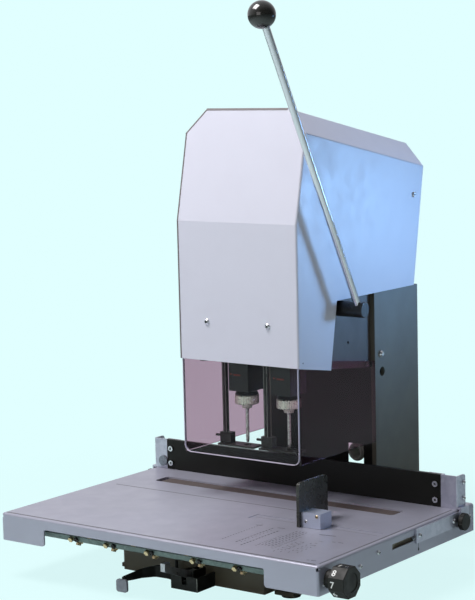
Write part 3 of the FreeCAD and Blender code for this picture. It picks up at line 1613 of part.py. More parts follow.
def make_rear_cover():
    inset = hood_t + gap
    half = hood_half - hood_t
    lean = (hood_back_y - hood_side_y) / (hood_back_z - hood_side_z)
    low = hood_side_z
    high = hood_back_z - inset - hood_t
    back_high = hood_side_y + lean * (high - hood_side_z)
    points = [(hood_side_y - hood_t, low), (hood_side_y, low), (back_high, high), (back_high - hood_t, high)]
    cover = prism("rear_cover_sheet", "X", points, -half, half)
    tools = []
    for way in (-1, 1):
        corner = prism("cover_corner_%s" % ("left" if way < 0 else "right"), "Y",
                       [(half * way, high - shoulder_down), ((half + overrun) * way, high - shoulder_down),
                        ((half + overrun) * way, high + overrun),
                        ((half - shoulder_across) * way, high + overrun),
                        ((half - shoulder_across) * way, high)], hood_side_y - overrun * 3,
                       hood_back_y + overrun * 3)
        tools.append(corner)
    for i in range(vent_count):
        z = vent_first + vent_pitch * i
        tools.append(box("vent_%d" % i, -vent_w / 2, hood_side_y - overrun, z, vent_w,
                         hood_back_y - hood_side_y + overrun * 2, vent_h))
    label(cut("rear_cover_made", cover, *tools), "hood_rear_cover")


def make_guards():
    front = -hood_front + hood_t
    half = hood_half - hood_t - gap - bend_room()
    pane = prism("front_pane", "Y", rectangle(-half, half, guard_low, guard_high), front, front + guard_t)
    low = guard_low.value
    rounded(pane, guard_corner, lambda edge: along("Y")(edge) and edge.Vertexes[0].Z < low + near.value)
    holes = [rod("pane_hole_%d" % i, "Y", screw_d, hood_screw_x * way, front - overrun, hood_screw_z,
                 guard_t + overrun * 2) for i, way in enumerate((-1, 1))]
    label(cut("front_guard_made", pane, *holes), "front_guard")
    outer = hood_half - hood_t - gap
    start = front + guard_t + gap
    points = [(start, guard_low), (side_guard_back, guard_low), (side_guard_back, side_guard_top_rear),
              (start, side_guard_top_front)]
    panes = []
    for side, x in (("left", -outer), ("right", outer - guard_t)):
        panes.append(prism("side_pane_" + side, "X", points, x, x + guard_t))
    group("side_guards", *panes)


def bend_room():
    return hood_bend - hood_t


def make_panel_screws():
    screws = []
    for way in (-1, 1):
        tag = "panel_screw_%d" % len(screws)
        head = small_screw(tag + "_head", "Y", 0, 0, 0, -screw_head_h, screw_head_d)
        shank = rod(tag + "_shank", "Y", screw_d, 0, 0, 0, hood_t + guard_t)
        screws.append(place(joined(tag, head, shank), hood_screw_x * way, -hood_front, hood_screw_z))
    guard_in = hood_half - hood_t - gap - guard_t
    for way in (-1, 1):
        low, high = (plate_x, guard_in) if way > 0 else (-guard_in, -plate_x)
        for y, z in ((-spacer_front, spacer_front_z), (spacer_rear, spacer_rear_z)):
            screws.append(rod("guard_spacer_%d" % len(screws), "X", spacer_d, low, y, z, high - low))
        hood_in = hood_half - hood_t
        low, high = (plate_x, hood_in) if way > 0 else (-hood_in, -plate_x)
        for y, z in ((-spacer_front, standoff_front_z), (standoff_rear, hood_side_screw_z)):
            screws.append(rod("hood_standoff_%d" % len(screws), "X", spacer_d, low, y, z, high - low))
        tag = "hood_side_screw_%d" % len(screws)
        head = small_screw(tag, "X", hood_half * way, standoff_rear, hood_side_screw_z, screw_head_h * way,
                           screw_head_d)
        screws.append(head)
    for way in (-1, 1):
        screws.append(turned("column_bolt_%d" % len(screws), bolt_points(way), "X", column_right * way,
                             column_front + bolt_back, bolt_z))
    group("panel_screws", *screws)


def bolt_points(way):
    high = bolt_rise * way
    top = bolt_d / 2 * bolt_top_share
    return [(0, 0), (bolt_d / 2, 0), (bolt_d / 2, high * bolt_step_share), (top, high), (0, high)]


# Release lever, bracket and stop pawl

def make_latch():
    left = latch_x - latch_w / 2
    right = latch_x + latch_w / 2
    front = -base_reach - latch_reach
    low = base_under
    block = span("latch_block", left, right, front, -base_reach, low, low + latch_high)
    inside = span("latch_inside", left + latch_t, right - latch_t, front + latch_t, -base_reach + overrun,
                  low + latch_t, low + latch_high + overrun)
    over_arm = low + latch_t + arm_plate + gap * 3
    arm_way = span("latch_arm_way", left - overrun, left + latch_t + overrun, front + latch_t, -base_reach,
                   low + latch_t - gap, low + latch_t + arm_plate + gap * 2)
    pawl_way = span("latch_pawl_way", latch_x - pawl_w / 2 - gap * 2, latch_x + pawl_w / 2 + gap * 2,
                    front - overrun, front + latch_t + overrun, over_arm, low + latch_high + overrun)
    ears = []
    for i, (x, ear_foot) in enumerate(((latch_x - pawl_w / 2 - gap - latch_t, over_arm),
                                       (latch_x + pawl_w / 2 + gap, low))):
        ears.append(span("pawl_ear_%d" % i, x, x + latch_t, -pawl_pin_y - latch_t * 2, -base_reach,
                         ear_foot, pawl_pin_z + latch_t * 2))
    pin = rod("pawl_pin", "X", pawl_pin_d, latch_x - pawl_w / 2 - gap - latch_t, -pawl_pin_y, pawl_pin_z,
              pawl_w + gap * 2 + latch_t * 2)
    tab = span("latch_tab", left - latch_w / 2, left, -base_reach - arm_w, -base_reach,
               low + latch_t * tab_shares[0], low + latch_t * tab_shares[1])
    stud = rod("latch_stud", "Z", pivot_d * stud_size_share, left - latch_w * stud_share,
               -base_reach - arm_w / 2, low + latch_t * 3, latch_high + latch_t / 3)
    post = rod("latch_post", "Z", pivot_d, left + arm_w * hub_share, -base_reach - arm_w, low,
               latch_high * post_share)
    label(joined("latch_bracket_made", cut("latch_folded", block, inside, arm_way, pawl_way), *ears, pin,
                 post, tab, stud), "latch_bracket")


# The release arm is a flat hub with a band turned up on edge. The band's outline in plan and its outline
# from the front are shares of the reach from the bracket to the tip, of the depth to the tip and of the rise.

hub_end_share = 0.1
hub_side_share = 0.03
band_rear_shares = [(0.042, 0.042), (0.395, 0.09), (0.706, 0.236), (0.9, 0.53), (1.034, 1)]
band_front_shares = [(0.966, 1), (0.835, 0.55), (0.657, 0.278), (0.378, 0.146), (0.042, 0.097)]
band_top_shares = [(0.05, 0.17), (0.09, 0.55), (0.31, 0.82), (0.65, 1), (0.85, 0.93), (1.05, 0.62)]
band_low_shares = [(1.05, 0.44), (0.9, 0.33), (0.65, 0.25), (0.31, 0.1), (0.05, 0)]


def make_release_lever():
    left = latch_x - latch_w / 2
    low = base_under + latch_t + gap
    hub_x = left + arm_w * hub_share
    hub_y = -base_reach - arm_w
    half = arm_w / 2
    reach = left + tip_x
    deep = tip_y + hub_y
    start_y = hub_y - deep * band_front_shares[-1][1]
    hub_end = left - reach * hub_end_share
    points = [(hub_x + half, start_y), (hub_x + half, hub_y + half), (hub_x - half, hub_y + half),
              (hub_end, hub_y - deep * hub_side_share), (hub_end, start_y)]
    flat = prism("release_hub", "Z", points, low, low + arm_plate)
    plan = [(left - reach * share, hub_y - deep * deep_share)
            for share, deep_share in band_rear_shares + band_front_shares]
    band = prism("release_band", "Z", plan, low, low + arm_rise)
    front = [(left - reach * share, low + arm_rise * rise_share)
             for share, rise_share in band_top_shares + band_low_shares]
    outline = prism("release_outline", "Y", front, -tip_y - overrun, hub_y)
    tip_end = (tip_y - near).value
    inner_end = (left - reach * band_front_shares[-1][0] - near).value
    rounded(band, arm_w, lambda edge: along("Z")(edge) and edge.Vertexes[0].Y > -tip_end
            and edge.Vertexes[0].X < inner_end)
    arm = joined("release_solid", flat, common("release_band_shaped", band, outline))
    hole = rod("release_hole", "Z", pivot_d + run_fit * 2, hub_x, hub_y, low - overrun,
               arm_plate + overrun * 2)
    label(cut("release_made", arm, hole), "release_lever")
    grip = prism("release_grip", "Y", rectangle(-tip_x - tip_w / 2, -tip_x + tip_w / 2, tip_low,
                                                tip_low + tip_h), -tip_y - tip_t, -tip_y)
    rounded(grip, tip_corner, along("Y"))
    label(grip, "lever_tip")


def make_pawl():
    low = pawl_pin_z - pawl_t
    tip = -stop_y
    points = [(-pawl_pin_y + pawl_t, pawl_pin_z - pawl_t), (-pawl_pin_y + pawl_t, pawl_pin_z + pawl_t),
              (-pawl_pin_y - pawl_t, pawl_pin_z + pawl_t), (tip + pawl_t, pawl_tip_z - pawl_t),
              (tip + pawl_t, pawl_tip_z), (tip - pawl_t, pawl_tip_z), (tip - pawl_t, pawl_tip_z - pawl_t * 2),
              (-pawl_pin_y - pawl_t, low)]
    arm = prism("pawl_arm", "X", points, latch_x - pawl_w / 2, latch_x + pawl_w / 2)
    hole = rod("pawl_hole", "X", pawl_pin_d + run_fit * 2, latch_x - pawl_w / 2 - overrun, -pawl_pin_y,
               pawl_pin_z, pawl_w + overrun * 2)
    label(cut("pawl_made", arm, hole), "stop_pawl")


# Chip drawer, mains inlet and power switch

def make_drawer():
    low = drawer_floor()
    back = base_back
    front = back - drawer_d
    half = drawer_w / 2
    tray = span("drawer_block", -half, half, front, back, low, low + drawer_h)
    inside = span("drawer_inside", -half + drawer_t, half - drawer_t, front + drawer_t, back - drawer_t,
                  low + drawer_t, low + drawer_h + overrun)
    grip = span("drawer_grip", -drawer_grip, drawer_grip, back, back + drawer_grip, low + drawer_h / 2,
                low + drawer_h / 2 + drawer_t)
    label(joined("drawer_made", cut("drawer_open", tray, inside), grip), "chip_drawer")


def make_electrics():
    back = column_back
    mouth_w_share, mouth_h_share = inlet_mouth_shares
    rim = span("inlet_rim", inlet_x - inlet_w * inlet_rim_share, inlet_x + inlet_w * inlet_rim_share, back,
               back + inlet_rise, inlet_z - inlet_h * inlet_rim_share, inlet_z + inlet_h * inlet_rim_share)
    shell = span("inlet_shell", inlet_x - inlet_w / 2, inlet_x + inlet_w / 2, back - inlet_h, back,
                 inlet_z - inlet_h / 2, inlet_z + inlet_h / 2)
    hollow = span("inlet_hollow", inlet_x - inlet_w * mouth_w_share, inlet_x + inlet_w * mouth_w_share,
                  back - inlet_h * inlet_deep_share, back + overrun * 2, inlet_z - inlet_h * mouth_h_share,
                  inlet_z + inlet_h * mouth_h_share)
    inlet = cut("inlet_socket", joined("inlet_solid", rim, shell), hollow)
    pins = []
    for i, (x_share, z_share) in enumerate(inlet_pin_shares):
        pins.append(box("inlet_pin_%d" % i, inlet_x + inlet_w * x_share - drawer_t / 2,
                        back - inlet_h * inlet_deep_share, inlet_z + inlet_h * z_share, drawer_t,
                        inlet_h * inlet_pin_share, drawer_t * 2))
    out = -column_right
    rim_w, rim_h = switch_w * switch_rim_shares[0], switch_h * switch_rim_shares[1]
    mouth_w, mouth_h = switch_w * switch_mouth_share, switch_h * switch_mouth_share
    rim = span("switch_rim", out - switch_rise, out, switch_y - rim_w, switch_y + rim_w, switch_z - rim_h,
               switch_z + rim_h)
    shell = span("switch_shell", out, out + switch_deep, switch_y - switch_w / 2, switch_y + switch_w / 2,
                 switch_z - switch_h / 2, switch_z + switch_h / 2)
    hollow = span("switch_hollow", out - switch_rise - overrun, out + switch_deep * switch_deep_share,
                  switch_y - mouth_w, switch_y + mouth_w, switch_z - mouth_h, switch_z + mouth_h)
    pin_way = rod("rocker_pin_way", "Y", rocker_pin_d + run_fit * 2, out + switch_rise,
                  switch_y - switch_w / 2 - overrun, switch_z, switch_w + overrun * 2)
    housing = cut("switch_housing", joined("switch_solid", rim, shell), hollow, pin_way)
    group("electric_fittings", joined("inlet_made", inlet, *pins), housing)
    half_w = mouth_w - rocker_play
    half_h = mouth_h - rocker_play
    valley = half_h * math.tan(math.radians(rocker_tilt.value))
    face = -switch_rise - rocker_rise
    end = half_h * rocker_end_share
    points = [(face, -half_h), (face + valley, 0), (face, half_h), (rocker_rise / 2, end),
              (rocker_rise * rocker_root_share, 0), (rocker_rise / 2, -end)]
    rocker = prism("rocker_body", "Y", points, -half_w, half_w)
    rocker.Placement.Rotation = FreeCAD.Rotation(V(0, 1, 0), rocker_tilt.value)
    bind(rocker, "Placement.Rotation.Angle", rocker_tilt)
    place(rocker, out + switch_rise, switch_y, switch_z)
    pin_reach = switch_w / 2 - gap
    pin = rod("rocker_pin", "Y", rocker_pin_d, out + switch_rise, switch_y - pin_reach, switch_z,
              pin_reach * 2)
    label(joined("rocker_made", rocker, pin), "switch_rocker")


make_base()
make_feet()
make_table()
make_strip()
make_rails()
make_rail_blocks()
make_table_screws()
make_stop_bar()
make_stop_screws()
make_index_knob()
make_fence()
make_fence_screws()
for hand in ("left", "right"):
    make_clamp(hand)
make_side_stop()
make_column()
make_spout()
make_head_plates()
make_bridges()
make_guide_rods()
make_motor()
make_rotor()
for hand in ("left", "right"):
    make_spindle_pulley(hand)
make_belt()
for hand in ("left", "right"):
    make_spindle(hand)
make_blocks()
make_carriage()
make_sector()
make_rack()
make_hold_down()
make_return_springs()
make_post_springs()
make_lever()
make_hood()
make_rear_cover()
make_guards()
make_panel_screws()
make_latch()
make_release_lever()
make_pawl()
make_drawer()
make_electrics()
doc.recompute()

NODES = ["base_frame", "rubber_feet", "column_sides", "column_covers", "chip_spout", "head_plates",
         "head_bridges", "guide_rods", "motor_body", "motor_rotor", "drive_belt", "spindle_pulley_left",
         "spindle_pulley_right", "hood_shell", "hood_rear_cover", "front_guard", "side_guards",
         "panel_screws", "rail_bearings", "latch_bracket", "electric_fittings", "switch_rocker",
         "chip_drawer", "table_top", "cutting_strip", "strip_holder", "slide_rails", "table_screws",
         "stop_bar", "stop_screws", "index_knob", "fence_plate", "fence_brackets", "fence_screws",
         "clamp_knob_left", "clamp_knob_right", "side_stop_plate", "side_stop_block", "head_carriage",
         "spindle_blocks", "feed_rack", "head_bearings", "spindle_shaft_left", "spindle_shaft_right",
         "chuck_left", "chuck_right", "drill_bit_left", "drill_bit_right", "hold_down_posts", "presser_feet",
         "return_springs", "hold_down_springs", "lever_shaft", "lever_hub", "lever_rod", "lever_knob",
         "feed_sector", "release_lever", "lever_tip", "stop_pawl"]

faults = []
for obj in doc.Objects:
    if "Invalid" in obj.State or "Error" in obj.State:
        faults.append("%s (%s) is %s" % (obj.Label, obj.TypeId, obj.State))
for name in NODES:
    found = doc.getObjectsByLabel(name)
    if len(found) != 1:
        faults.append("%s has %d objects" % (name, len(found)))
        continue
    shape = found[0].Shape
    if shape.isNull() or not shape.isValid() or not shape.Solids:
        faults.append("%s has no sound shape" % name)
if faults:
    raise RuntimeError("; ".join(faults))

os.makedirs("parts", exist_ok=True)
for name in NODES:
    found = doc.getObjectsByLabel(name)[0]
    found.Shape.exportStep("parts/%s.step" % name)
print(len(NODES), "nodes")
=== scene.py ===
"""Looks for the table-top paper drill: finishes, printed marks, small fittings, light and camera."""

import json
import math

import bmesh
import bpy
import numpy as np
from mathutils import Matrix, Vector


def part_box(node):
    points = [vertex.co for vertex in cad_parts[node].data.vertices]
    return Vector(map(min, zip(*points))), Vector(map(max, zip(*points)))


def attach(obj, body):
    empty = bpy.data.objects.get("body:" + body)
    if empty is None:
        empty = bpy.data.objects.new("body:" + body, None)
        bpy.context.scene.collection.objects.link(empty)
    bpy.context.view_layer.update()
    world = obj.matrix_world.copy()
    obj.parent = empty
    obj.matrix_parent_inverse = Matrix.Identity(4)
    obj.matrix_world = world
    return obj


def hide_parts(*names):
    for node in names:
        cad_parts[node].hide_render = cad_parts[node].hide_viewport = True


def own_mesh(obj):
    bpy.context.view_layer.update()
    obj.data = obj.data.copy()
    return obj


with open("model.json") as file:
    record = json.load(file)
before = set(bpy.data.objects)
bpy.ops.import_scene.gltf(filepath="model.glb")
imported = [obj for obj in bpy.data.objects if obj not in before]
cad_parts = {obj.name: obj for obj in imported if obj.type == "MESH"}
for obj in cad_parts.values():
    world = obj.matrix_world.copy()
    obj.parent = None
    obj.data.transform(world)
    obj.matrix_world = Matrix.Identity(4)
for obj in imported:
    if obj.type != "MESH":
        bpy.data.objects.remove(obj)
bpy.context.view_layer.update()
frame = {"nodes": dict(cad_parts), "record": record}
NODES = frame["nodes"]
MM = 0.001
RIGHT, BACK, UP, FORWARD = (1, 0, 0), (0, 1, 0), (0, 0, 1), (0, -1, 0)


# Surface groups that several finishes share

def new_group(name, inputs, outputs):
    """An empty shader group with named sockets, as (tree, input node, output node)."""
    tree = bpy.data.node_groups.new(name, "ShaderNodeTree")
    for label, kind, value in inputs:
        socket = tree.interface.new_socket(label, in_out="INPUT", socket_type="NodeSocket" + kind)
        if value is not None:
            socket.default_value = value
    for label, kind in outputs:
        tree.interface.new_socket(label, in_out="OUTPUT", socket_type="NodeSocket" + kind)
    return tree, tree.nodes.new("NodeGroupInput"), tree.nodes.new("NodeGroupOutput")


def node(tree, kind, settings=(), **links):
    """One node: settings are its own properties, links its inputs as values or other sockets."""
    made = tree.nodes.new("ShaderNode" + kind)
    for key, value in dict(settings).items():
        setattr(made, key, value)
    for key, value in links.items():
        key = int(key[1:]) if key[0] == "n" and key[1:].isdigit() else key.replace("_", " ")
        socket = made.inputs[key]
        if isinstance(value, bpy.types.NodeSocket):
            tree.links.new(value, socket)
        else:
            socket.default_value = value
    return made


def math_node(tree, operation, first, second=0.0, third=0.0, clamp=False):
    made = node(tree, "Math", {"operation": operation, "use_clamp": clamp}, n0=first, n1=second, n2=third)
    return made.outputs[0]


def vector_multiply(tree, first, second):
    return node(tree, "VectorMath", {"operation": "MULTIPLY"}, n0=first, n1=second).outputs[0]


def dot_product(tree, first, second):
    return node(tree, "VectorMath", {"operation": "DOT_PRODUCT"}, n0=first, n1=second).outputs["Value"]


def noise(tree, vector, scale, detail=2.0, rough=0.5):
    made = node(tree, "TexNoise", (), Vector=vector, Scale=scale, Detail=detail, Roughness=rough)
    return made.outputs[0]


def blend_colour(tree, share, first, second):
    """The first colour at share 0 and the second at share 1."""
    made = node(tree, "Mix", {"data_type": "RGBA"}, n0=share)
    for place, value in ((6, first), (7, second)):
        if isinstance(value, bpy.types.NodeSocket):
            tree.links.new(value, made.inputs[place])
        else:
            made.inputs[place].default_value = value
    return made.outputs[2]


def span_share(tree, value, low, high, low_out=0.0, high_out=1.0):
    """The value's place between low and high, kept inside and carried over to low_out and high_out."""
    made = node(tree, "MapRange", {"clamp": True}, Value=value, From_Min=low, From_Max=high, To_Min=low_out,
                To_Max=high_out)
    return made.outputs[0]


def object_place(tree):
    return tree.nodes.new("ShaderNodeTexCoord").outputs["Object"]


SURFACE_OUTPUTS = [("Colour", "Color"), ("Roughness", "Float"), ("Normal", "Vector")]


def surface_out(tree, out, colour, rough, bump):
    """Joins a surface group's colour, roughness and bump to its outputs."""
    tree.links.new(colour, out.inputs["Colour"])
    tree.links.new(rough, out.inputs["Roughness"])
    tree.links.new(bump.outputs[0], out.inputs["Normal"])
    return tree


def paint_group():
    """Sprayed paint: fine orange peel in the height, slow cloudiness in the colour and gloss."""
    tree, given, out = new_group(
        "sprayed paint",
        [("Colour", "Color", (0.5, 0.5, 0.5, 1)), ("Cloud Colour", "Color", (0.4, 0.4, 0.4, 1)),
         ("Cloud Share", "Float", 0.3), ("Roughness", "Float", 0.4), ("Peel Scale", "Float", 700.0),
         ("Peel Depth", "Float", 0.1)],
        SURFACE_OUTPUTS)
    place = object_place(tree)
    cloud = noise(tree, place, 9.0, 4.0, 0.6)
    patches = span_share(tree, cloud, 0.35, 0.7)
    cloud_share = math_node(tree, "MULTIPLY", patches, given.outputs["Cloud Share"])
    colour = blend_colour(tree, cloud_share, given.outputs["Colour"], given.outputs["Cloud Colour"])
    peel = noise(tree, place, given.outputs["Peel Scale"], 2.0, 0.5)
    smear = noise(tree, place, 35.0, 3.0, 0.5)
    spread = span_share(tree, smear, 0.3, 0.7, -0.05, 0.07)
    rough = math_node(tree, "ADD", given.outputs["Roughness"], spread, clamp=True)
    bump = node(tree, "Bump", (), Strength=given.outputs["Peel Depth"], Distance=0.0004, Height=peel)
    return surface_out(tree, out, colour, rough, bump)


def streak_group():
    """Drawn or ground metal: noise stretched along one axis, in the colour, gloss and height."""
    tree, given, out = new_group(
        "drawn metal",
        [("Colour", "Color", (0.6, 0.6, 0.6, 1)), ("Streak Colour", "Color", (0.5, 0.5, 0.5, 1)),
         ("Streak Share", "Float", 0.5), ("Stretch", "Vector", (40.0, 900.0, 900.0)),
         ("Roughness", "Float", 0.3), ("Depth", "Float", 0.1)],
        SURFACE_OUTPUTS)
    place = object_place(tree)
    stretched = vector_multiply(tree, place, given.outputs["Stretch"])
    streak = noise(tree, stretched, 1.0, 3.0, 0.6)
    share = math_node(tree, "MULTIPLY", span_share(tree, streak, 0.3, 0.7), given.outputs["Streak Share"])
    colour = blend_colour(tree, share, given.outputs["Colour"], given.outputs["Streak Colour"])
    smear = noise(tree, place, 60.0, 3.0, 0.5)
    spread = math_node(tree, "ADD", span_share(tree, streak, 0.3, 0.7, -0.05, 0.08),
                       span_share(tree, smear, 0.3, 0.7, -0.03, 0.04))
    rough = math_node(tree, "ADD", given.outputs["Roughness"], spread, clamp=True)
    bump = node(tree, "Bump", (), Strength=given.outputs["Depth"], Distance=0.0003, Height=streak)
    return surface_out(tree, out, colour, rough, bump)


def spangle_group():
    """Galvanised sheet: crystal cells a few millimetres wide, each with its own shade and gloss."""
    tree, given, out = new_group(
        "galvanised spangle",
        [("Colour", "Color", (0.5, 0.52, 0.5, 1)), ("Dull Colour", "Color", (0.4, 0.42, 0.41, 1)),
         ("Cell Scale", "Float", 160.0), ("Roughness", "Float", 0.35)],
        SURFACE_OUTPUTS)
    place = object_place(tree)
    cells = node(tree, "TexVoronoi", (), Vector=place, Scale=given.outputs["Cell Scale"], Randomness=1.0)
    shade = node(tree, "SeparateColor", (), Color=cells.outputs["Color"])
    colour = blend_colour(tree, shade.outputs[0], given.outputs["Colour"], given.outputs["Dull Colour"])
    spread = span_share(tree, shade.outputs[1], 0, 1, -0.08, 0.1)
    rough = math_node(tree, "ADD", given.outputs["Roughness"], spread)
    grain = noise(tree, place, 900.0, 2.0, 0.5)
    bump = node(tree, "Bump", (), Strength=0.06, Distance=0.0003, Height=grain)
    return surface_out(tree, out, colour, rough, bump)


def edge_group():
    """Worn corners: where a rounded normal leaves the true one, broken up by noise."""
    tree, given, out = new_group(
        "worn edges",
        [("Colour", "Color", (0.1, 0.1, 0.1, 1)), ("Worn Colour", "Color", (0.5, 0.5, 0.5, 1)),
         ("Wear", "Float", 0.5), ("Width", "Float", 0.0012)],
        [("Colour", "Color"), ("Mask", "Float")])
    rounded = node(tree, "Bevel", {"samples": 4}, Radius=given.outputs["Width"])
    true = tree.nodes.new("ShaderNodeNewGeometry").outputs["Normal"]
    match = dot_product(tree, rounded.outputs[0], true)
    edge = span_share(tree, match, 0.98, 0.8)
    chips = span_share(tree, noise(tree, object_place(tree), 260.0, 4.0, 0.65), 0.42, 0.6)
    chipped = math_node(tree, "MULTIPLY", edge, chips)
    mask = math_node(tree, "MULTIPLY", chipped, given.outputs["Wear"], clamp=True)
    colour = blend_colour(tree, mask, given.outputs["Colour"], given.outputs["Worn Colour"])
    tree.links.new(colour, out.inputs["Colour"])
    tree.links.new(mask, out.inputs["Mask"])
    return tree


def mould_group():
    """Moulded plastic: fine sparkle texture, faint flow marks and rubbed patches."""
    tree, given, out = new_group(
        "moulded plastic",
        [("Colour", "Color", (0.03, 0.03, 0.03, 1)), ("Rubbed Colour", "Color", (0.08, 0.08, 0.08, 1)),
         ("Roughness", "Float", 0.45), ("Grain Scale", "Float", 1400.0), ("Grain Depth", "Float", 0.2)],
        SURFACE_OUTPUTS)
    place = object_place(tree)
    rub = span_share(tree, noise(tree, place, 45.0, 4.0, 0.6), 0.45, 0.75, 0.0, 0.5)
    colour = blend_colour(tree, rub, given.outputs["Colour"], given.outputs["Rubbed Colour"])
    rough = math_node(tree, "ADD", given.outputs["Roughness"],
                      span_share(tree, noise(tree, place, 80.0, 3.0, 0.5), 0.3, 0.7, -0.06, 0.08), clamp=True)
    bump = node(tree, "Bump", (), Strength=given.outputs["Grain Depth"], Distance=0.0002,
                Height=noise(tree, place, given.outputs["Grain Scale"], 2.0, 0.5))
    return surface_out(tree, out, colour, rough, bump)


def knurl_group():
    """A straight knurl round either spindle: teeth from the angle about its axis, 40 mm to each side."""
    tree, given, out = new_group(
        "straight knurl",
        [("Colour", "Color", (0.7, 0.7, 0.7, 1)), ("Groove Shade Colour", "Color", (0.3, 0.3, 0.3, 1)),
         ("Teeth", "Float", 48.0), ("Axis Place", "Float", 0.04), ("Roughness", "Float", 0.3)],
        SURFACE_OUTPUTS)
    place = object_place(tree)
    parts = node(tree, "SeparateXYZ", (), Vector=place)
    outward = math_node(tree, "ABSOLUTE", parts.outputs[0])
    across = math_node(tree, "SUBTRACT", outward, given.outputs["Axis Place"])
    turn = math_node(tree, "ARCTAN2", parts.outputs[1], across)
    tooth = math_node(tree, "SINE", math_node(tree, "MULTIPLY", turn, given.outputs["Teeth"]))
    height = span_share(tree, tooth, -0.6, 0.8)
    rub = span_share(tree, noise(tree, place, 260.0, 3.0, 0.6), 0.35, 0.7, 0.0, 0.3)
    # Painted shade: the colour leans to the groove colour in the knurl's valleys; rubbed patches darken it
    # further as wear.
    groove_shade = math_node(tree, "MULTIPLY", math_node(tree, "SUBTRACT", 1.0, height), 0.6)
    share = math_node(tree, "ADD", groove_shade, rub, clamp=True)
    dulled = math_node(tree, "MULTIPLY", rub, 0.4)
    rough = math_node(tree, "ADD", given.outputs["Roughness"], dulled, clamp=True)
    bump = node(tree, "Bump", (), Strength=0.7, Distance=0.0004, Height=height)
    colour = blend_colour(tree, share, given.outputs["Colour"], given.outputs["Groove Shade Colour"])
    return surface_out(tree, out, colour, rough, bump)


PAINT = paint_group()
STREAK = streak_group()
SPANGLE = spangle_group()
EDGE = edge_group()
MOULD = mould_group()
KNURL = knurl_group()


# Finishes

def rgba(colour, alpha=1.0):
    return (colour[0], colour[1], colour[2], alpha)


def bare_material(name):
    """A new material, as (material, its tree, its shader)."""
    material = bpy.data.materials.new(name)
    material.use_nodes = True
    return material, material.node_tree, material.node_tree.nodes["Principled BSDF"]


def fill(shader, values):
    for label, value in values.items():
        shader.inputs[label].default_value = value


def placed(tree, group, values):
    """The shared group as a node of this tree, with its values set."""
    made = tree.nodes.new("ShaderNodeGroup")
    made.node_tree = group
    for label, value in values.items():
        made.inputs[label].default_value = value
    return made


def finished(name, group, values, metallic=0.0, worn=None, wear=0.5, width=0.0012, **sockets):
    """A material from one surface group and, where it wears, the edge group over its colour."""
    material, tree, shader = bare_material(name)
    skin = placed(tree, group, values)
    colour = skin.outputs["Colour"]
    if worn:
        edges = placed(tree, EDGE, {"Worn Colour": rgba(worn), "Wear": wear, "Width": width})
        tree.links.new(colour, edges.inputs["Colour"])
        colour = edges.outputs["Colour"]
    tree.links.new(colour, shader.inputs["Base Color"])
    tree.links.new(skin.outputs["Roughness"], shader.inputs["Roughness"])
    tree.links.new(skin.outputs["Normal"], shader.inputs["Normal"])
    shader.inputs["Metallic"].default_value = metallic
    fill(shader, {label.replace("_", " "): value for label, value in sockets.items()})
    material.diffuse_color = rgba(values["Colour"])
    return material


def painted(name, colour, cloud=None, cloud_share=0.35, rough=0.4, peel=700.0, depth=0.1, **more):
    cloud = cloud or [part * 0.8 for part in colour]
    values = {"Colour": rgba(colour), "Cloud Colour": rgba(cloud), "Cloud Share": cloud_share,
              "Roughness": rough, "Peel Scale": peel, "Peel Depth": depth}
    return finished(name, PAINT, values, **more)


def drawn(name, colour, streak=None, share=0.6, stretch=(40.0, 900.0, 900.0), rough=0.3, depth=0.08, **more):
    streak = streak or [part * 0.7 for part in colour]
    values = {"Colour": rgba(colour), "Streak Colour": rgba(streak), "Streak Share": share,
              "Stretch": stretch, "Roughness": rough, "Depth": depth}
    more.setdefault("metallic", 1.0)
    return finished(name, STREAK, values, **more)


def moulded(name, colour, rubbed=None, rough=0.45, grain=1400.0, depth=0.2, **more):
    rubbed = rubbed or [part * 1.8 + 0.01 for part in colour]
    values = {"Colour": rgba(colour), "Rubbed Colour": rgba(rubbed), "Roughness": rough, "Grain Scale": grain,
              "Grain Depth": depth}
    return finished(name, MOULD, values, **more)


def galvanised(name, colour, dull, cells, rough):
    values = {"Colour": rgba(colour), "Dull Colour": rgba(dull), "Cell Scale": cells, "Roughness": rough}
    return finished(name, SPANGLE, values, metallic=0.85)


def knurled(name, colour, groove_shade, teeth, rough):
    values = {"Colour": rgba(colour), "Groove Shade Colour": rgba(groove_shade), "Teeth": teeth, "Roughness": rough}
    return finished(name, KNURL, values, metallic=1.0)


def smoked_sheet(name, colour):
    """A thin tinted pane: light goes straight through and takes the tint; scuffs only dull the gloss."""
    material, tree, shader = bare_material(name)
    place = object_place(tree)
    tint = blend_colour(tree, span_share(tree, noise(tree, place, 5.0), 0.3, 0.7), rgba(colour),
                        rgba([part * 0.95 for part in colour]))
    scuff = span_share(tree, noise(tree, place, 40.0, 4.0, 0.6), 0.45, 0.8, 0.02, 0.06)
    tree.links.new(tint, shader.inputs["Base Color"])
    tree.links.new(scuff, shader.inputs["Coat Roughness"])
    fill(shader, {"Transmission Weight": 1.0, "IOR": 1.02, "Coat Weight": 0.35, "Roughness": 0.0})
    material.diffuse_color = rgba(colour, 0.6)
    return material


def clear_rim(name, colour):
    """The sawn edge of a clear pane: its own pale cut, brightened as a painted highlight of the light the
    sheet gathers.
    """
    material, tree, shader = bare_material(name)
    saw = vector_multiply(tree, object_place(tree), (900.0, 900.0, 900.0))
    share = span_share(tree, noise(tree, saw, 1.0, 3.0, 0.6), 0.35, 0.7)
    tree.links.new(blend_colour(tree, share, rgba(colour), rgba([part * 0.8 for part in colour])),
                   shader.inputs["Base Color"])
    tree.links.new(span_share(tree, share, 0.0, 1.0, 0.3, 0.5), shader.inputs["Roughness"])
    material.diffuse_color = rgba(colour)
    return material


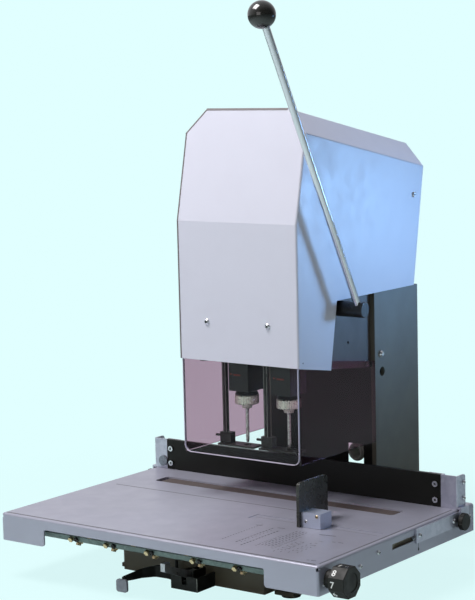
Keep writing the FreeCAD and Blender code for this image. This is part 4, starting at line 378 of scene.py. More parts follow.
def clear_sheet(name, colour, alpha, rough=0.04):
    """A thin sheet seen through: plain alpha on a glossy shader, with faint scuffs in the gloss."""
    material, tree, shader = bare_material(name)
    place = object_place(tree)
    scuff = span_share(tree, noise(tree, place, 30.0, 4.0, 0.6), 0.4, 0.75, rough, rough + 0.1)
    tree.links.new(scuff, shader.inputs["Roughness"])
    tint = blend_colour(tree, span_share(tree, noise(tree, place, 6.0), 0.3, 0.7), rgba(colour),
                        rgba([part * 0.85 for part in colour]))
    tree.links.new(tint, shader.inputs["Base Color"])
    fill(shader, {"Alpha": alpha, "IOR": 1.49})
    material.diffuse_color = rgba(colour, alpha)
    return material


SILVER_PAINT = (0.36, 0.365, 0.44)
HOOD_PAINT = (0.595, 0.60, 0.685)
FINISHES = {
    "olive_paint": painted("olive paint", (0.105, 0.090, 0.058), rough=0.46, worn=(0.13, 0.11, 0.08),
                           wear=0.35),
    "foot_rubber": moulded("foot rubber", (0.02, 0.02, 0.02), rough=0.75, grain=800.0, depth=0.4),
    "column_paint": painted("column paint", (0.11, 0.105, 0.08), rough=0.5, worn=(0.15, 0.15, 0.13),
                            wear=0.3),
    "black_sheet": painted("black sheet", (0.008, 0.008, 0.006), rough=0.42, worn=(0.12, 0.12, 0.11),
                           wear=0.5, Specular_IOR_Level=0.3),
    "pale_plastic": moulded("pale spout", (0.34, 0.36, 0.31), rubbed=(0.24, 0.25, 0.21), rough=0.5),
    "taupe_plate": painted("taupe plate", (0.058, 0.046, 0.040), rough=0.5, worn=(0.16, 0.14, 0.13),
                           wear=0.3),
    "bridge_steel": painted("bridge paint", (0.03, 0.03, 0.03), rough=0.5, worn=(0.25, 0.25, 0.25), wear=0.5),
    "ground_steel": drawn("ground steel", (0.58, 0.58, 0.60), stretch=(900.0, 900.0, 60.0), rough=0.22),
    "motor_iron": painted("motor paint", (0.07, 0.08, 0.09), rough=0.5, peel=350.0, depth=0.3),
    "turned_steel": drawn("turned steel", (0.46, 0.46, 0.48), stretch=(900.0, 120.0, 120.0), rough=0.32),
    "belt_rubber": moulded("belt rubber", (0.02, 0.02, 0.02), rough=0.65, grain=600.0, depth=0.5),
    "pulley_metal": drawn("pulley metal", (0.62, 0.62, 0.63), stretch=(120.0, 120.0, 900.0), rough=0.35),
    "hood_paint": painted("hood paint", HOOD_PAINT, cloud=(0.56, 0.565, 0.645), cloud_share=0.5, rough=0.36,
                          peel=900.0, depth=0.06),
    "clear_guard": clear_sheet("clear guard", (0.10, 0.11, 0.12), 0.05),
    "smoked_guard": smoked_sheet("smoked guard", (0.55, 0.32, 0.41)),
    "bright_screws": drawn("bright screws", (0.72, 0.73, 0.76), stretch=(400.0, 400.0, 400.0), rough=0.25),
    "bearing_blocks": drawn("bearing blocks", (0.36, 0.36, 0.37), stretch=(300.0, 300.0, 300.0), rough=0.5),
    "black_plastic": moulded("black plastic", (0.010, 0.010, 0.008), rough=0.5, Specular_IOR_Level=0.3),
    "red_plastic": moulded("red rocker", (0.35, 0.015, 0.012), rubbed=(0.25, 0.01, 0.01), rough=0.3),
    "drawer_sheet": painted("drawer paint", (0.05, 0.05, 0.05), rough=0.5, worn=(0.2, 0.2, 0.2), wear=0.5),
    "table_paint": painted("table paint", SILVER_PAINT, cloud=(0.32, 0.325, 0.39), cloud_share=0.5,
                           rough=0.34, peel=1100.0, depth=0.07, metallic=0.3),
    "strip_plastic": moulded("strip plastic", (0.075, 0.058, 0.055), rubbed=(0.11, 0.09, 0.08), rough=0.6),
    "galvanised": galvanised("galvanised sheet", (0.52, 0.52, 0.60), (0.44, 0.45, 0.53), 160.0, 0.36),
    "brass": drawn("brass screws", (0.62, 0.50, 0.30), streak=(0.45, 0.34, 0.18),
                   stretch=(500.0, 500.0, 500.0), rough=0.26),
    "black_paint": painted("black paint", (0.0045, 0.0045, 0.003), rough=0.4, worn=(0.10, 0.10, 0.09),
                           wear=0.4, Specular_IOR_Level=0.25),
    "gloss_black": moulded("gloss black sheet", (0.022, 0.023, 0.018), rough=0.28, depth=0.02,
                           Coat_Weight=0.1),
    "zinc_block": drawn("zinc block", (0.52, 0.56, 0.68), streak=(0.45, 0.49, 0.58),
                        stretch=(60.0, 900.0, 900.0), rough=0.36, metallic=0.6),
    "black_block": drawn("black block", (0.020, 0.021, 0.019), stretch=(900.0, 900.0, 60.0), rough=0.38,
                         metallic=0.3, worn=(0.16, 0.16, 0.15), wear=0.4),
    "bearing_steel": drawn("bearing steel", (0.55, 0.55, 0.57), stretch=(200.0, 200.0, 900.0), rough=0.2),
    "nickel": knurled("nickel chuck", (0.86, 0.81, 0.70), (0.40, 0.37, 0.31), 44.0, 0.24),
    "drill_steel": drawn("drill steel", (0.50, 0.47, 0.44), stretch=(300.0, 300.0, 1200.0), rough=0.25),
    # The posts' lighter edges are partly edge wear and partly a painted highlight along their corners.
    "post_steel": drawn("post steel", (0.022, 0.022, 0.018), stretch=(900.0, 900.0, 50.0), rough=0.4,
                        metallic=0.3, worn=(0.25, 0.25, 0.22), wear=0.5),
    "spring_steel": drawn("spring steel", (0.35, 0.35, 0.37), stretch=(300.0, 300.0, 300.0), rough=0.35),
    "hub_black": painted("hub black", (0.010, 0.010, 0.010), rough=0.3, worn=(0.2, 0.2, 0.2), wear=0.4),
    "chrome": drawn("chromed rod", (0.66, 0.67, 0.70), share=0.15, stretch=(500.0, 30.0, 30.0), rough=0.14,
                    depth=0.01),
    "ball_black": moulded("black ball", (0.010, 0.010, 0.008), rough=0.16, depth=0.02, Coat_Weight=0.5),
    "tip_grey": moulded("grey sleeve", (0.17, 0.18, 0.21), rubbed=(0.24, 0.25, 0.28), rough=0.35),
}
INK = painted("grey ink", (0.035, 0.035, 0.045), rough=0.5)
# Painted shade for the table's bends, its score and the edges of its track.
PAINTED_SHADE_LINE = painted("shadow line", (0.13, 0.13, 0.15), rough=0.5)
# Painted shade laid over the hood's left, shoulder and top bends.
EDGE_SHADE_PAINT = painted("painted edge shade", (0.13, 0.115, 0.12), rough=0.5)
PALE_RIM = clear_rim("sawn guard edge", (0.62, 0.58, 0.70))
DARK_RIM = moulded("dark guard edge", (0.012, 0.008, 0.006), rough=0.3)
WHITE_MARK = moulded("white filling", (0.72, 0.72, 0.70), rubbed=(0.55, 0.55, 0.52), rough=0.5)
RED_MARK = painted("red mark", (0.16, 0.012, 0.006), rough=0.5)
# Painted shade for screw recesses and holes; the same dark also inks the scale ticks and pointer line.
RECESS_SHADE_AND_INK = moulded("recess shade and ink", (0.006, 0.006, 0.006), rough=0.6)
# Painted highlight: bright strips along the guide posts and the bracket's front corner.
EDGE_HIGHLIGHT_PAINT = drawn("painted edge highlight", (0.30, 0.30, 0.27), stretch=(300.0, 300.0, 20.0), rough=0.3)
SLATE_ZINC = galvanised("slate zinc", (0.15, 0.19, 0.18), (0.11, 0.145, 0.135), 200.0, 0.42)
DULL_ZINC = galvanised("dull zinc", (0.26, 0.28, 0.32), (0.20, 0.22, 0.25), 260.0, 0.42)
DARK_STEEL = drawn("blackened steel", (0.020, 0.020, 0.018), stretch=(400.0, 400.0, 400.0), rough=0.35,
                   metallic=0.4)
SCALE_BROWN = moulded("scale strip", (0.15, 0.125, 0.075), rubbed=(0.2, 0.17, 0.11), rough=0.5)

SLOT_OF = {part["node"]: part["material_slot"] for part in frame["record"]["subparts"]}
OWN_FINISH = {"stop_bar": SLATE_ZINC}
for cad_name, cad_object in NODES.items():
    finish = OWN_FINISH.get(cad_name, FINISHES[SLOT_OF[cad_name]])
    for holder in cad_object.material_slots:
        holder.material = finish


# New pieces: points are worked out in millimetres as whole arrays

def grid_faces(rows, columns, around=False):
    """Quads between neighbouring rows and columns of a grid; around joins the last column to the first."""
    row = np.arange(rows - 1)[:, None] * columns
    column = np.arange(columns if around else columns - 1)[None, :]
    after = (column + 1) % columns
    corners = [row + column, row + after, row + columns + after, row + columns + column]
    return np.stack(corners, axis=-1).reshape(-1, 4)


def unit(vector):
    """The vector, or each row of vectors, divided by its own length."""
    vector = np.asarray(vector, float)
    return vector / np.linalg.norm(vector, axis=-1, keepdims=True)


def merged(shapes):
    """Several (points, faces) shapes as one: each shape's faces are counted on from the points before it."""
    points, faces, count = [], [], 0
    for shape_points, shape_faces in shapes:
        points.append(shape_points)
        faces.extend((np.asarray(face) + count).tolist() for face in shape_faces)
        count += len(shape_points)
    return np.concatenate(points), faces


def new_piece(name, shape, material, body, solid=True, smooth=False):
    """One object from points in millimetres. A solid one has its doubles merged and its faces turned
    outwards."""
    points, faces = shape
    mesh = bpy.data.meshes.new(name)
    mesh.from_pydata((np.asarray(points) * MM).tolist(), [], [list(face) for face in faces])
    if solid:
        work = bmesh.new()
        work.from_mesh(mesh)
        bmesh.ops.remove_doubles(work, verts=work.verts, dist=1e-7)
        bmesh.ops.recalc_face_normals(work, faces=work.faces)
        work.to_mesh(mesh)
        work.free()
    mesh.materials.append(material)
    if smooth:
        mesh.shade_smooth()
    piece = bpy.data.objects.new(name, mesh)
    bpy.context.scene.collection.objects.link(piece)
    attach(piece, body)
    return piece


def strokes(starts, ends, width):
    """Flat strokes: each is the rectangle that lies half a width to each side of its line."""
    starts, ends = np.asarray(starts, float), np.asarray(ends, float)
    run = unit(ends - starts)
    side = np.stack([-run[:, 1], run[:, 0]], axis=1) * np.reshape(width, (-1, 1)) / 2
    corners = np.stack([starts - side, ends - side, ends + side, starts + side], axis=1).reshape(-1, 2)
    return corners, np.arange(len(corners)).reshape(-1, 4)


def laid(flat, origin, across, up):
    """Flat points put on the plane through origin that across and up span."""
    flat_points, faces = flat
    origin, across, up = (np.asarray(part, float) for part in (origin, across, up))
    return origin + flat_points[:, :1] * across + flat_points[:, 1:] * up, faces


def slab(outline, origin, across, up, thick):
    """A flat outline given a thickness: a copy is lifted along across x up, and the two are joined by
    quads."""
    across, up = np.asarray(across, float), np.asarray(up, float)
    outline = np.asarray(outline, float)
    count = len(outline)
    low = np.asarray(origin, float) + outline[:, :1] * across + outline[:, 1:] * up
    high = low + unit(np.cross(across, up)) * thick
    faces = grid_faces(2, count, around=True).tolist()
    faces += [list(range(count))[::-1], list(range(count, count * 2))]
    return np.concatenate([low, high]), faces


def rect(x0, y0, x1, y1):
    return [(x0, y0), (x1, y0), (x1, y1), (x0, y1)]


def cross_outline(size, arm):
    """A plus sign: two bars of the size, each as wide as arm."""
    s, a = size / 2, arm / 2
    return [(s, -a), (s, a), (a, a), (a, s), (-a, s), (-a, a), (-s, a), (-s, -a), (-a, -a), (-a, -s), (a, -s),
            (a, -a)]


def turned(profile, centre, axis, count=24):
    """A profile of radius and height turned round an axis: radius x (cos, sin) square to it, height along
    it."""
    profile = np.asarray(profile, float)
    axis = unit(axis)
    side = unit(np.cross(axis, (0.31, 0.77, 0.55)))
    other = np.cross(axis, side)
    angle = np.arange(count) * 2 * math.pi / count
    ring = np.cos(angle)[:, None] * side + np.sin(angle)[:, None] * other
    points = profile[:, 0, None, None] * ring + profile[:, 1, None, None] * axis + np.asarray(centre, float)
    return points.reshape(-1, 3), grid_faces(len(profile), count, around=True)


def carried(profile, path, up):
    """A closed profile carried along a path: its first direction is run x up, its second square to both."""
    path = np.asarray(path, float)
    profile = np.asarray(profile, float)
    run = unit(np.gradient(path, axis=0))
    side = unit(np.cross(run, np.broadcast_to(np.asarray(up, float), run.shape)))
    rise = np.cross(side, run)
    points = path[:, None] + side[:, None] * profile[None, :, :1] + rise[:, None] * profile[None, :, 1:]
    count = len(profile)
    faces = grid_faces(len(path), count, around=True).tolist()
    faces += [list(range(count))[::-1], list(range((len(path) - 1) * count, len(path) * count))]
    return points.reshape(-1, 3), faces


# Printed marks, and bend lines of painted shade on the table

TABLE_TOP = 102.0
TABLE_LEFT, TABLE_RIGHT, TABLE_FRONT = -282.0, 300.0, -308.0


def chart_rows():
    """The printed setting chart: rows of dashes towards the back, with cross ticks and short labels as
    bars."""
    rng = np.random.default_rng(7)
    starts, ends, widths = [], [], []

    def row(x, y0, y1, step, length, width):
        y = np.arange(y0, y1, step)
        jitter = rng.uniform(0.75, 1.0, len(y))
        starts.append(np.stack([np.full(len(y), x), y], axis=1))
        ends.append(np.stack([np.full(len(y), x), y + length * jitter], axis=1))
        widths.append(np.full(len(y), width))

    def ticks(x, y0, y1, step, length, width):
        y = np.arange(y0, y1, step)
        reach = length * rng.choice([0.5, 0.75, 1.0], len(y))
        starts.append(np.stack([np.full(len(y), x), y], axis=1))
        ends.append(np.stack([x + reach, y], axis=1))
        widths.append(np.full(len(y), width))

    row(101.5, -258.0, -160.0, 6.4, 3.8, 0.8)
    row(128.5, -262.0, -174.0, 7.2, 5.4, 1.1)
    row(144.5, -272.0, -180.0, 7.2, 5.6, 1.2)
    row(134.5, -258.0, -184.0, 9.0, 3.0, 0.7)
    for x in (169.0, 174.5, 180.0, 185.5):
        row(x, -264.0 + x * 0.05, -170.0, 8.3, 5.6, 0.9)
    ticks(162.0, -262.0, -196.0, 5.5, 5.0, 0.7)
    ticks(190.0, -262.0, -190.0, 6.1, 7.0, 0.7)
    for x in (203.0, 213.0, 224.0, 236.0):
        row(x, -276.0 + (x - 203.0) * 0.3, -215.0, 10.7, 5.0, 0.7)
    ticks(206.0, -262.0, -206.0, 9.5, 9.0, 0.6)
    ticks(228.0, -256.0, -198.0, 11.5, 9.0, 0.6)
    single = [((96.0, -168.5), (106.5, -166.5), 1.0), ((132.5, -165.3), (145.0, -164.6), 1.0),
              ((206.0, -167.0), (232.0, -162.5), 1.3), ((245.0, -191.0), (250.0, -190.4), 1.0),
              ((254.0, -189.6), (262.0, -188.8), 1.0), ((268.0, -288.0), (272.0, -287.4), 1.0),
              ((274.5, -287.0), (281.6, -285.7), 1.2)]
    starts.append(np.array([start for start, _, _ in single]))
    ends.append(np.array([end for _, end, _ in single]))
    widths.append(np.array([width for _, _, width in single]))
    flat = strokes(np.concatenate(starts), np.concatenate(ends), np.concatenate(widths) * 1.6)
    return laid(flat, (0, 0, TABLE_TOP + 0.06), RIGHT, BACK)


def bend_lines():
    """Painted shade: the thin dark line where the top turns into its front and right bends, and along the
    score on the left.
    """
    front = TABLE_FRONT + 6.6
    right = TABLE_RIGHT - 6.4
    starts = [(TABLE_LEFT + 6.0, front), (right, front + 6.0), (-255.0, -69.4)]
    ends = [(right - 2.0, front), (right, 58.0), (110.0, -64.5)]
    return laid(strokes(starts, ends, [4.2, 3.6, 2.8]), (0, 0, TABLE_TOP + 0.04), RIGHT, BACK)


new_piece("setting_chart", chart_rows(), INK, "table", solid=False)
new_piece("bend_lines", bend_lines(), PAINTED_SHADE_LINE, "table", solid=False)

# Painted shade: dark lines along both edges of the track's floor and down its middle.
track_marks = strokes([(62.0, -114.0), (62.0, -140.0), (66.0, -127.0)],
                      [(281.0, -114.0), (281.0, -140.0), (278.0, -127.0)], [1.8, 1.8, 1.0])
new_piece("track_lines", laid(track_marks, (0, 0, TABLE_TOP - 0.75), RIGHT, BACK), PAINTED_SHADE_LINE, "table",
          solid=False)


# Painted shade: a dark band over the bends along the hood's left edge, its shoulder and its top

HOOD_HALF, HOOD_FRONT, HOOD_LOW, HOOD_TOP = 112.5, -75.0, 320.0, 704.0
FOLD_Z, TOP_Y, SHOULDER_X, SHOULDER_Z = 534.0, -38.5, 75.8, 666.8
SIDE_OUT, FRONT_OUT = np.array([-1.0, 0.0, 0.0]), np.array([0.0, -1.0, 0.0])
SLOPE_OUT = unit([0.0, -(HOOD_TOP - FOLD_Z), TOP_Y - HOOD_FRONT])
SHOULDER_OUT = unit([-(HOOD_TOP - SHOULDER_Z), 0.0, HOOD_HALF - SHOULDER_X])


def edge_band(start, end, first, second, back, ahead, bend=3.5, lift=0.16, sink=0.4):
    """A thin band over a bent edge: flat strips on both faces joined by an arc of the bend's own radius.
    first and second are the faces' outward normals; the arc blends them and runs about the bend's centre."""
    start, end = np.asarray(start, float), np.asarray(end, float)
    share = float(first @ second)
    blend = np.linspace(0.0, 1.0, 7)[:, None]
    outward = unit(first * (1.0 - blend) + second * blend)
    centre = -(first + second) * bend / (1.0 + share)
    away_first = -unit(second - share * first)
    away_second = -unit(first - share * second)
    skins = []
    for reach in (bend + lift, bend - sink):
        arc = centre + outward * reach
        skins.append(np.concatenate([[arc[0] + away_first * back], arc, [arc[-1] + away_second * ahead]]))
    section = np.concatenate([skins[0], skins[1][::-1]])
    count = len(section)
    points = np.concatenate([start + section, end + section])
    faces = grid_faces(2, count, around=True).tolist()
    half = count // 2
    for level in (0, count):
        faces += [[level + i, level + i + 1, level + count - 2 - i, level + count - 1 - i]
                  for i in range(half - 1)]
    return points, faces


def hood_edge_shade():
    """Four bands in a row: up the front corner, up the sloped corner, over the shoulder and along the top."""
    low, knee = (-HOOD_HALF, HOOD_FRONT, HOOD_LOW + 0.2), (-HOOD_HALF, HOOD_FRONT, FOLD_Z)
    slope_share = (SHOULDER_Z - FOLD_Z) / (HOOD_TOP - FOLD_Z)
    shoulder = (-HOOD_HALF, HOOD_FRONT + (TOP_Y - HOOD_FRONT) * slope_share, SHOULDER_Z)
    crown, crown_end = (-SHOULDER_X, TOP_Y, HOOD_TOP), (SHOULDER_X, TOP_Y, HOOD_TOP)
    up = np.array([0.0, 0.0, 1.0])
    return merged([
        edge_band(low, knee, SIDE_OUT, FRONT_OUT, 1.5, 0.9),
        edge_band(knee, shoulder, SIDE_OUT, SLOPE_OUT, 1.5, 0.7),
        edge_band(shoulder, crown, SHOULDER_OUT, SLOPE_OUT, 1.5, 0.3),
        edge_band(crown, crown_end, up, SLOPE_OUT, 1.5, 0.3),
    ])


new_piece("hood_edge_shade_band", hood_edge_shade(), EDGE_SHADE_PAINT, "machine")


# Screw recesses: a dark plus of painted shade on each head that faces the front or the sides

def recess(place, normal, size, arm, turn=0.0):
    """A plus sign a tenth of a millimetre proud of the head, turned in its own plane."""
    normal = unit(normal)
    across = unit(np.cross((0.0, 0.0, 1.0), normal))
    up = np.cross(normal, across)
    c, s = math.cos(turn), math.sin(turn)
    outline = np.asarray(cross_outline(size, arm)) @ np.array([[c, s], [-s, c]])
    return slab(outline, np.asarray(place, float) - normal * 0.3, across, up, 0.42)


front_heads = [recess((x, -78.0, 380.5), FORWARD, 4.8, 1.5, 0.25 + x) for x in (-57.0, 57.0)]
new_piece("hood_screw_recesses", merged(front_heads), RECESS_SHADE_AND_INK, "machine")
side_heads = [recess((x, 256.0, 556.0), (x, 0, 0), 4.6, 1.4, 0.3) for x in (-115.5, 115.5)]
new_piece("hood_side_recesses", merged(side_heads), RECESS_SHADE_AND_INK, "machine")
fence_heads = [recess((x, 60.5, z), FORWARD, 4.8, 1.5, 0.5 * x)
               for x in (-246.5, 262.5) for z in (112.8, 137.3)]
fence_heads += [recess((303.0, 81.0, z), RIGHT, 3.8, 1.2, z) for z in (116.3, 140.3)]
fence_heads += [recess((305.7, y, 88.5), RIGHT, 3.8, 1.2, y) for y in (-51.0, 46.0)]
new_piece("fence_screw_recesses", merged(fence_heads), RECESS_SHADE_AND_INK, "fence")
TABLE_SCREWS = [(303.0, -205.4, 77.9), (303.0, -158.6, 87.0), (303.0, 98.0, 84.4)]
table_heads = [recess(place, RIGHT, 3.8, 1.2, place[1]) for place in TABLE_SCREWS]
new_piece("table_screw_recesses", merged(table_heads), RECESS_SHADE_AND_INK, "table")


# Rims of the guards

GUARD_HALF, GUARD_FRONT = 108.7, -71.5


def pane_rim():
    """The clear pane's edge: straight down the left, round two corners of 12 mm, and up the right."""
    half, low, radius, high = GUARD_HALF, 172.5, 12.0, 319.0
    turn = np.linspace(0, math.pi / 2, 9)
    left = np.stack([-half + radius - radius * np.cos(turn), low + radius - radius * np.sin(turn)], axis=1)
    right = np.stack([half - radius + radius * np.sin(turn), low + radius - radius * np.cos(turn)], axis=1)
    flat = np.concatenate([[(-half, high)], left, right, [(half, high)]])
    return np.stack([flat[:, 0], np.full(len(flat), GUARD_FRONT), flat[:, 1]], axis=1)


new_piece("clear_guard_rim", carried(rect(-0.12, -1.6, 0.7, 1.58), pane_rim(), BACK), PALE_RIM, "machine")
smoked_edges = [slab(rect(-1.5, 172.6, 1.5, 318.5), (x, -69.74, 0), RIGHT, UP, 0.18)
                for x in (-GUARD_HALF, GUARD_HALF)]
new_piece("smoked_guard_edges", merged(smoked_edges), DARK_RIM, "machine")


# Chucks, blocks, posts

SPINDLE_X, POST_OFFSET, BLOCK_FRONT = 40.0, 42.0, -22.0


def collar(x):
    """The dark coned washer over a chuck: a ring that narrows upwards from the chuck to the spindle block."""
    profile = [(11.2, 258.15), (18.2, 258.15), (18.2, 259.6), (15.6, 263.4), (11.2, 263.4), (11.2, 258.15)]
    return turned(profile, (x, 0, 0), UP, 40)


new_piece("collar_left", collar(-SPINDLE_X), DARK_STEEL, "spindle_left", smooth=False)
new_piece("collar_right", collar(SPINDLE_X), DARK_STEEL, "spindle_right", smooth=False)


def block_marks():
    """Two red bars on the front of each spindle block, where the photograph has a line of small red print."""
    bars = np.array([(-55.5, 291.5, -52.0, 291.5), (-49.0, 290.7, -35.5, 290.7),
                     (27.0, 291.5, 30.5, 291.5), (33.5, 290.7, 47.0, 290.7)])
    return laid(strokes(bars[:, :2], bars[:, 2:], 2.6), (0, BLOCK_FRONT - 0.06, 0), RIGHT, UP)


new_piece("block_marks", block_marks(), RED_MARK, "head", solid=False)
# Painted highlights: thin bright lines down the fronts of the guide posts.
post_edge_highlights = [slab(rect(-0.4, 186.0, 0.4, 416.0), (x, -3.7, 0), RIGHT, UP, 0.12)
              for x in (-84.2, -79.0, -4.2, 1.3)]
new_piece("post_edge_highlights", merged(post_edge_highlights), EDGE_HIGHLIGHT_PAINT, "hold_down")


# Coil springs

ROD_X, ROD_Y = 79.0, 20.0


def coils(centres, radius, wire, low, high, turns):
    """A wire circle carried along a helix at each centre: x = r cos a, y = r sin a, and z climbs with a."""
    angle = np.linspace(0, 2 * np.pi * turns, 28 * turns + 1)
    climb = np.linspace(low + wire / 2, high - wire / 2, len(angle))
    around = np.linspace(0, 2 * np.pi, 10, endpoint=False)
    circle = np.stack([np.cos(around), np.sin(around)], axis=1) * wire / 2
    paths = [np.stack([x + radius * np.cos(angle), y + radius * np.sin(angle), climb], axis=1)
             for x, y in centres]
    return merged([carried(circle, path, UP) for path in paths])


def spring_between(name, node, body, centres, wire, turns):
    """A pair of coils in the node's own box, in place of the hidden node."""
    low, high = (float(end[2]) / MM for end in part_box(node))
    across = (float(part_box(node)[1][1]) - float(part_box(node)[0][1])) / MM
    shape = coils(centres, (across - wire) / 2, wire, low, high, turns)
    piece = new_piece(name, shape, FINISHES["spring_steel"], body, smooth=True)
    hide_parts(node)
    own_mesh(piece)


spring_between("return_coils", "return_springs", "machine",
               [(-ROD_X, ROD_Y), (ROD_X, ROD_Y)], 2.0, 12)
spring_between("hold_down_coils", "hold_down_springs", "head",
               [(x - POST_OFFSET, 0.0) for x in (-SPINDLE_X, SPINDLE_X)], 1.2, 7)


# Right apron: scale behind the window, pointer line, drop hole and rivets

APRON_X, SCALE_BACK = 300.0, 294.3
# Painted highlight down the bracket's front corner.
new_piece("bracket_edge_highlight", slab(rect(-0.45, 11.0, 0.45, 30.6), (42.0, -243.0, 0), RIGHT, UP, 0.15),
          EDGE_HIGHLIGHT_PAINT, "machine")
scale_plate = slab(rect(-121.0, 80.5, -54.5, 91.0), (SCALE_BACK, 0, 0), BACK, UP, 0.2)
scale_foot = slab(rect(-120.8, 80.7, -111.0, 90.8), (SCALE_BACK + 0.1, 0, 0), BACK, UP, 3.05)
new_piece("window_scale", merged([scale_plate, scale_foot]), SCALE_BROWN, "table")
tick_y = np.arange(-119.0, -56.0, 2.5)
tick_top = np.where(np.arange(len(tick_y)) % 4 == 0, 87.4, 85.4)
tick_marks = strokes(np.stack([tick_y, np.full(len(tick_y), 83.4)], axis=1),
                     np.stack([tick_y, tick_top], axis=1), 0.6)
new_piece("scale_ticks", laid(tick_marks, (SCALE_BACK + 0.25, 0, 0), BACK, UP), RECESS_SHADE_AND_INK, "table",
          solid=False)
pointer = laid(strokes([(-49.6, 71.0)], [(-49.6, 84.0)], [0.9]), (APRON_X + 0.05, 0, 0), BACK, UP)
new_piece("pointer_line", pointer, RECESS_SHADE_AND_INK, "table", solid=False)


def drop_outline():
    """A drop: a circle of 1.9 mm whose top is drawn out to a point 4 mm above its middle."""
    turn = np.linspace(math.radians(-215), math.radians(35), 19)
    return np.concatenate([np.stack([np.cos(turn), np.sin(turn)], axis=1) * 1.9, [(0.0, 4.0)]])


# The drop-shaped hole: a dark slab of painted shade.
new_piece("drop_hole", slab(drop_outline(), (APRON_X - 0.2, -49.6, 67.0), BACK, UP, 0.27), RECESS_SHADE_AND_INK, "table")


def dome(centre, axis, radius, rise):
    """A low dome: a quarter ellipse turned round its axis, closed at the pole and at its flat back."""
    turn = np.linspace(0, math.pi / 2, 6)
    profile = np.stack([radius * np.cos(turn), rise * np.sin(turn)], axis=1)
    profile = np.concatenate([[(0.0, -0.3), (radius, -0.3)], profile])
    profile[-1, 0] = 0.0
    return turned(profile, centre, axis, 20)


rivets = [dome((APRON_X, -296.3, 79.6), RIGHT, 1.3, 0.9), dome((APRON_X, -295.3, 73.4), RIGHT, 1.9, 1.3)]
new_piece("apron_rivets", merged(rivets), FINISHES["bright_screws"], "table", smooth=True)


# Stop bar: lock nuts beside the brass screws; index knob: numbers and its set screw

def lock_nut(x):
    """A six-sided nut with chamfered corners, on an axis that leans down from the bar's front."""
    return turned([(0.0, -1.0), (3.9, -1.0), (3.9, 1.9), (3.3, 2.6), (1.7, 2.6), (1.5, 1.6), (0.0, 1.6)],
                  (x, -294.6, 75.6), (0, -0.92, -0.39), 6)


lock_nuts = [lock_nut(x) for x in (-142.6, -70.6, 1.0, 88.0, 159.0)]
new_piece("stop_lock_nuts", merged(lock_nuts), DARK_STEEL, "stop_shaft")

KNOB_X, KNOB_Y, KNOB_Z, KNOB_APOTHEM = 320.5, -285.0, 80.0, 21.0


def facet_numbers():
    """1 to 8, one on each facet of the knob, 8 on the one that faces forwards and up, each read from the
    front."""
    shapes = []
    for i in range(8):
        angle = math.radians(135.0 - 360.0 / 8 * (i + 1))
        out = Vector((0.0, math.cos(angle), math.sin(angle)))
        up = out.cross(Vector((1.0, 0.0, 0.0)))
        letter = bpy.data.curves.new("number", "FONT")
        letter.body = str(i + 1)
        letter.size = 0.0125
        letter.align_x, letter.align_y = "CENTER", "CENTER"
        letter.offset = 0.00022
        holder = bpy.data.objects.new("number", letter)
        flat = bpy.data.meshes.new_from_object(holder)
        coords = np.empty(len(flat.vertices) * 3)
        flat.vertices.foreach_get("co", coords)
        coords = coords.reshape(-1, 3) / MM
        facet = np.array([KNOB_X, KNOB_Y, KNOB_Z]) + np.array(out) * (KNOB_APOTHEM + 0.06)
        middle = facet - np.array(up) * 1.5
        points = middle + coords[:, :1] * np.array([1.0, 0.0, 0.0]) + coords[:, 1:2] * np.array(up)
        shapes.append((points, [list(face.vertices) for face in flat.polygons]))
        bpy.data.objects.remove(holder)
        bpy.data.curves.remove(letter)
        bpy.data.meshes.remove(flat)
    return merged(shapes)


new_piece("knob_numbers", facet_numbers(), WHITE_MARK, "stop_shaft", solid=False)
set_screw = turned([(0, -0.5), (2.6, -0.5), (2.6, 0.25), (1.3, 0.25), (1.1, -0.2), (0, -0.2)],
                   (331.0, -285.0, 101.0), UP, 20)
new_piece("knob_set_screw", set_screw, FINISHES["bright_screws"], "stop_shaft")


# Side stop: two screws in the front of its block

new_piece("side_stop_screw", dome((168.4, -144.0, 111.0), FORWARD, 3.0, 1.6), FINISHES["bright_screws"],
          "side_stop", smooth=True)
new_piece("side_stop_brass_screw", dome((186.8, -144.0, 120.2), FORWARD, 2.7, 1.4), FINISHES["brass"],
          "side_stop", smooth=True)
stop_heads = [recess((168.4, -145.5, 111.0), FORWARD, 3.4, 1.0, 0.4),
              recess((186.8, -145.3, 120.2), FORWARD, 3.0, 0.9, 0.9)]
new_piece("side_stop_recesses", merged(stop_heads), RECESS_SHADE_AND_INK, "side_stop")


# Left bracket: grey washer; hood: a small hole in each side

new_piece("bracket_washer", turned([(0, -0.2), (8.6, -0.2), (8.6, 0.5), (3.2, 0.5), (3.0, 0.9), (0, 0.9)],
                                   (-263.5, 61.6, 115.0), FORWARD, 28), DULL_ZINC, "fence")


def hole_disc(place, normal, radius):
    """A dark disc of painted shade a tenth of a millimetre proud, for a small hole."""
    return turned([(0, -0.2), (radius, -0.2), (radius, 0.1), (0, 0.1)], place, normal, 18)


pin_holes = [hole_disc((way * HOOD_HALF, -63.9, 327.1), (way, 0, 0), 1.1) for way in (-1, 1)]
new_piece("hood_pin_holes", merged(pin_holes), RECESS_SHADE_AND_INK, "machine")


# Light, floor and camera

BACKDROP = (0.753, 1.0, 1.0)


def seen_directly(tree):
    """1 for rays from the camera, from gloss and through glass, 0 for the light that reaches the object."""
    path = tree.nodes.new("ShaderNodeLightPath")
    first = math_node(tree, "MAXIMUM", path.outputs["Is Camera Ray"], path.outputs["Is Transmission Ray"])
    return first, path.outputs["Is Glossy Ray"]


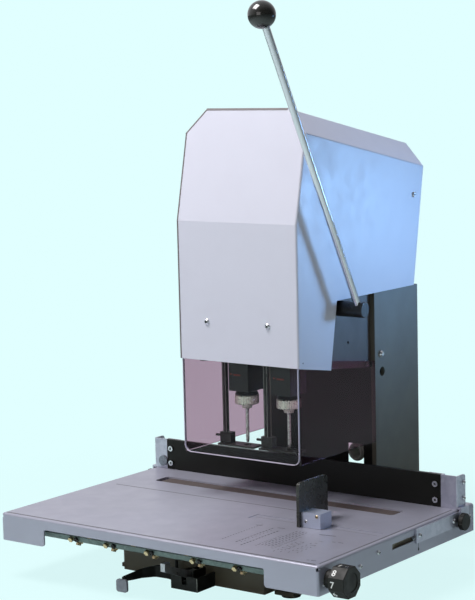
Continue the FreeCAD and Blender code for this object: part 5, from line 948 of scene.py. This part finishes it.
def make_world():
    """Seen directly it is the pale backdrop; as light it is brightest from the front, above and the left."""
    world = bpy.data.worlds.new("studio")
    world.use_nodes = True
    tree = world.node_tree
    tree.nodes.clear()
    seen, glossy = seen_directly(tree)
    way = tree.nodes.new("ShaderNodeTexCoord").outputs["Generated"]
    toward = dot_product(tree, way, (-0.50, -0.46, 0.73))
    level = span_share(tree, toward, -0.35, 0.9, 0.06, 0.30)
    behind = dot_product(tree, way, (-0.76, 0.34, 0.55))
    soft = node(tree, "Background", (), Color=(0.95, 0.95, 1.0, 1), Strength=level)
    shine = node(tree, "Background", (), Color=(0.93, 0.95, 1.0, 1),
                 Strength=span_share(tree, behind, -0.3, 0.8, 0.10, 0.80))
    pale = node(tree, "Background", (), Color=rgba(BACKDROP), Strength=1.0)
    first = node(tree, "MixShader", (), n0=glossy, n1=soft.outputs[0], n2=shine.outputs[0])
    second = node(tree, "MixShader", (), n0=seen, n1=first.outputs[0], n2=pale.outputs[0])
    out = tree.nodes.new("ShaderNodeOutputWorld")
    tree.links.new(second.outputs[0], out.inputs["Surface"])
    bpy.context.scene.world = world


def make_floor():
    """A wide floor that takes the shadow; seen directly it fades into the backdrop."""
    mesh = bpy.data.meshes.new("floor")
    reach = 30.0
    corners = [(-reach, -reach, 0), (reach, -reach, 0), (reach, reach, 0), (-reach, reach, 0)]
    mesh.from_pydata(corners, [], [(0, 1, 2, 3)])
    floor = bpy.data.objects.new("floor", mesh)
    bpy.context.scene.collection.objects.link(floor)
    material, tree, shader = bare_material("pale floor")
    tree.nodes.remove(shader)
    lit = node(tree, "BsdfDiffuse", (), Color=(0.70, 0.86, 0.86, 1))
    glow = node(tree, "Emission", (), Color=rgba(BACKDROP), Strength=1.0)
    seen, glossy = seen_directly(tree)
    away = node(tree, "VectorMath", {"operation": "LENGTH"}, n0=object_place(tree)).outputs["Value"]
    glow_share = span_share(tree, away, 0.35, 0.95, 0.90, 1.0)
    mixed = node(tree, "MixShader", (), n0=math_node(tree, "MULTIPLY", seen, glow_share), n1=lit.outputs[0],
                 n2=glow.outputs[0])
    out = tree.nodes["Material Output"]
    tree.links.new(mixed.outputs[0], out.inputs["Surface"])
    mesh.materials.append(material)


def soft_lamp(name, place, target, size, power, colour, spread=math.pi):
    data = bpy.data.lights.new(name, "AREA")
    data.shape = "RECTANGLE"
    data.size, data.size_y = size
    data.energy = power
    data.color = colour
    data.spread = spread
    lamp = bpy.data.objects.new(name, data)
    bpy.context.scene.collection.objects.link(lamp)
    aim = Vector(target) - Vector(place)
    lamp.matrix_world = Matrix.Translation(place) @ aim.to_track_quat("-Z", "Y").to_matrix().to_4x4()


def make_camera():
    """The camera fitted to the photograph: its place, its three axes and its lens."""
    data = bpy.data.cameras.new("camera")
    data.sensor_fit = "AUTO"
    data.sensor_width = 36.0
    data.lens = 111.54
    data.clip_start, data.clip_end = 0.1, 100.0
    camera = bpy.data.objects.new("camera", data)
    bpy.context.scene.collection.objects.link(camera)
    right = Vector((0.80260, 0.59606, -0.02350))
    up = Vector((-0.05670, 0.11545, 0.99169))
    ahead = Vector((-0.59382, 0.79460, -0.12646))
    turn = Matrix((right, up, -ahead)).transposed().to_4x4()
    camera.matrix_world = Matrix.Translation((1.6688, -2.3052, 0.7721)) @ turn
    bpy.context.scene.camera = camera


make_world()
make_floor()
soft_lamp("key light", (-0.50, -0.82, 2.1), (-0.05, -0.05, 0.42), (0.9, 0.9), 46.5, (1.0, 0.97, 0.98))
soft_lamp("front fill", (0.6, -3.0, 1.2), (0, 0, 0.35), (1.6, 1.2), 9.0, (1.0, 0.96, 0.97))
soft_lamp("right rear light", (0.92, 0.98, 0.52), (0.1125, 0.18, 0.47), (0.30, 0.30), 0.55,
          (0.28, 0.55, 1.0), spread=0.58)
make_camera()
bpy.context.scene.view_settings.view_transform = "Standard"
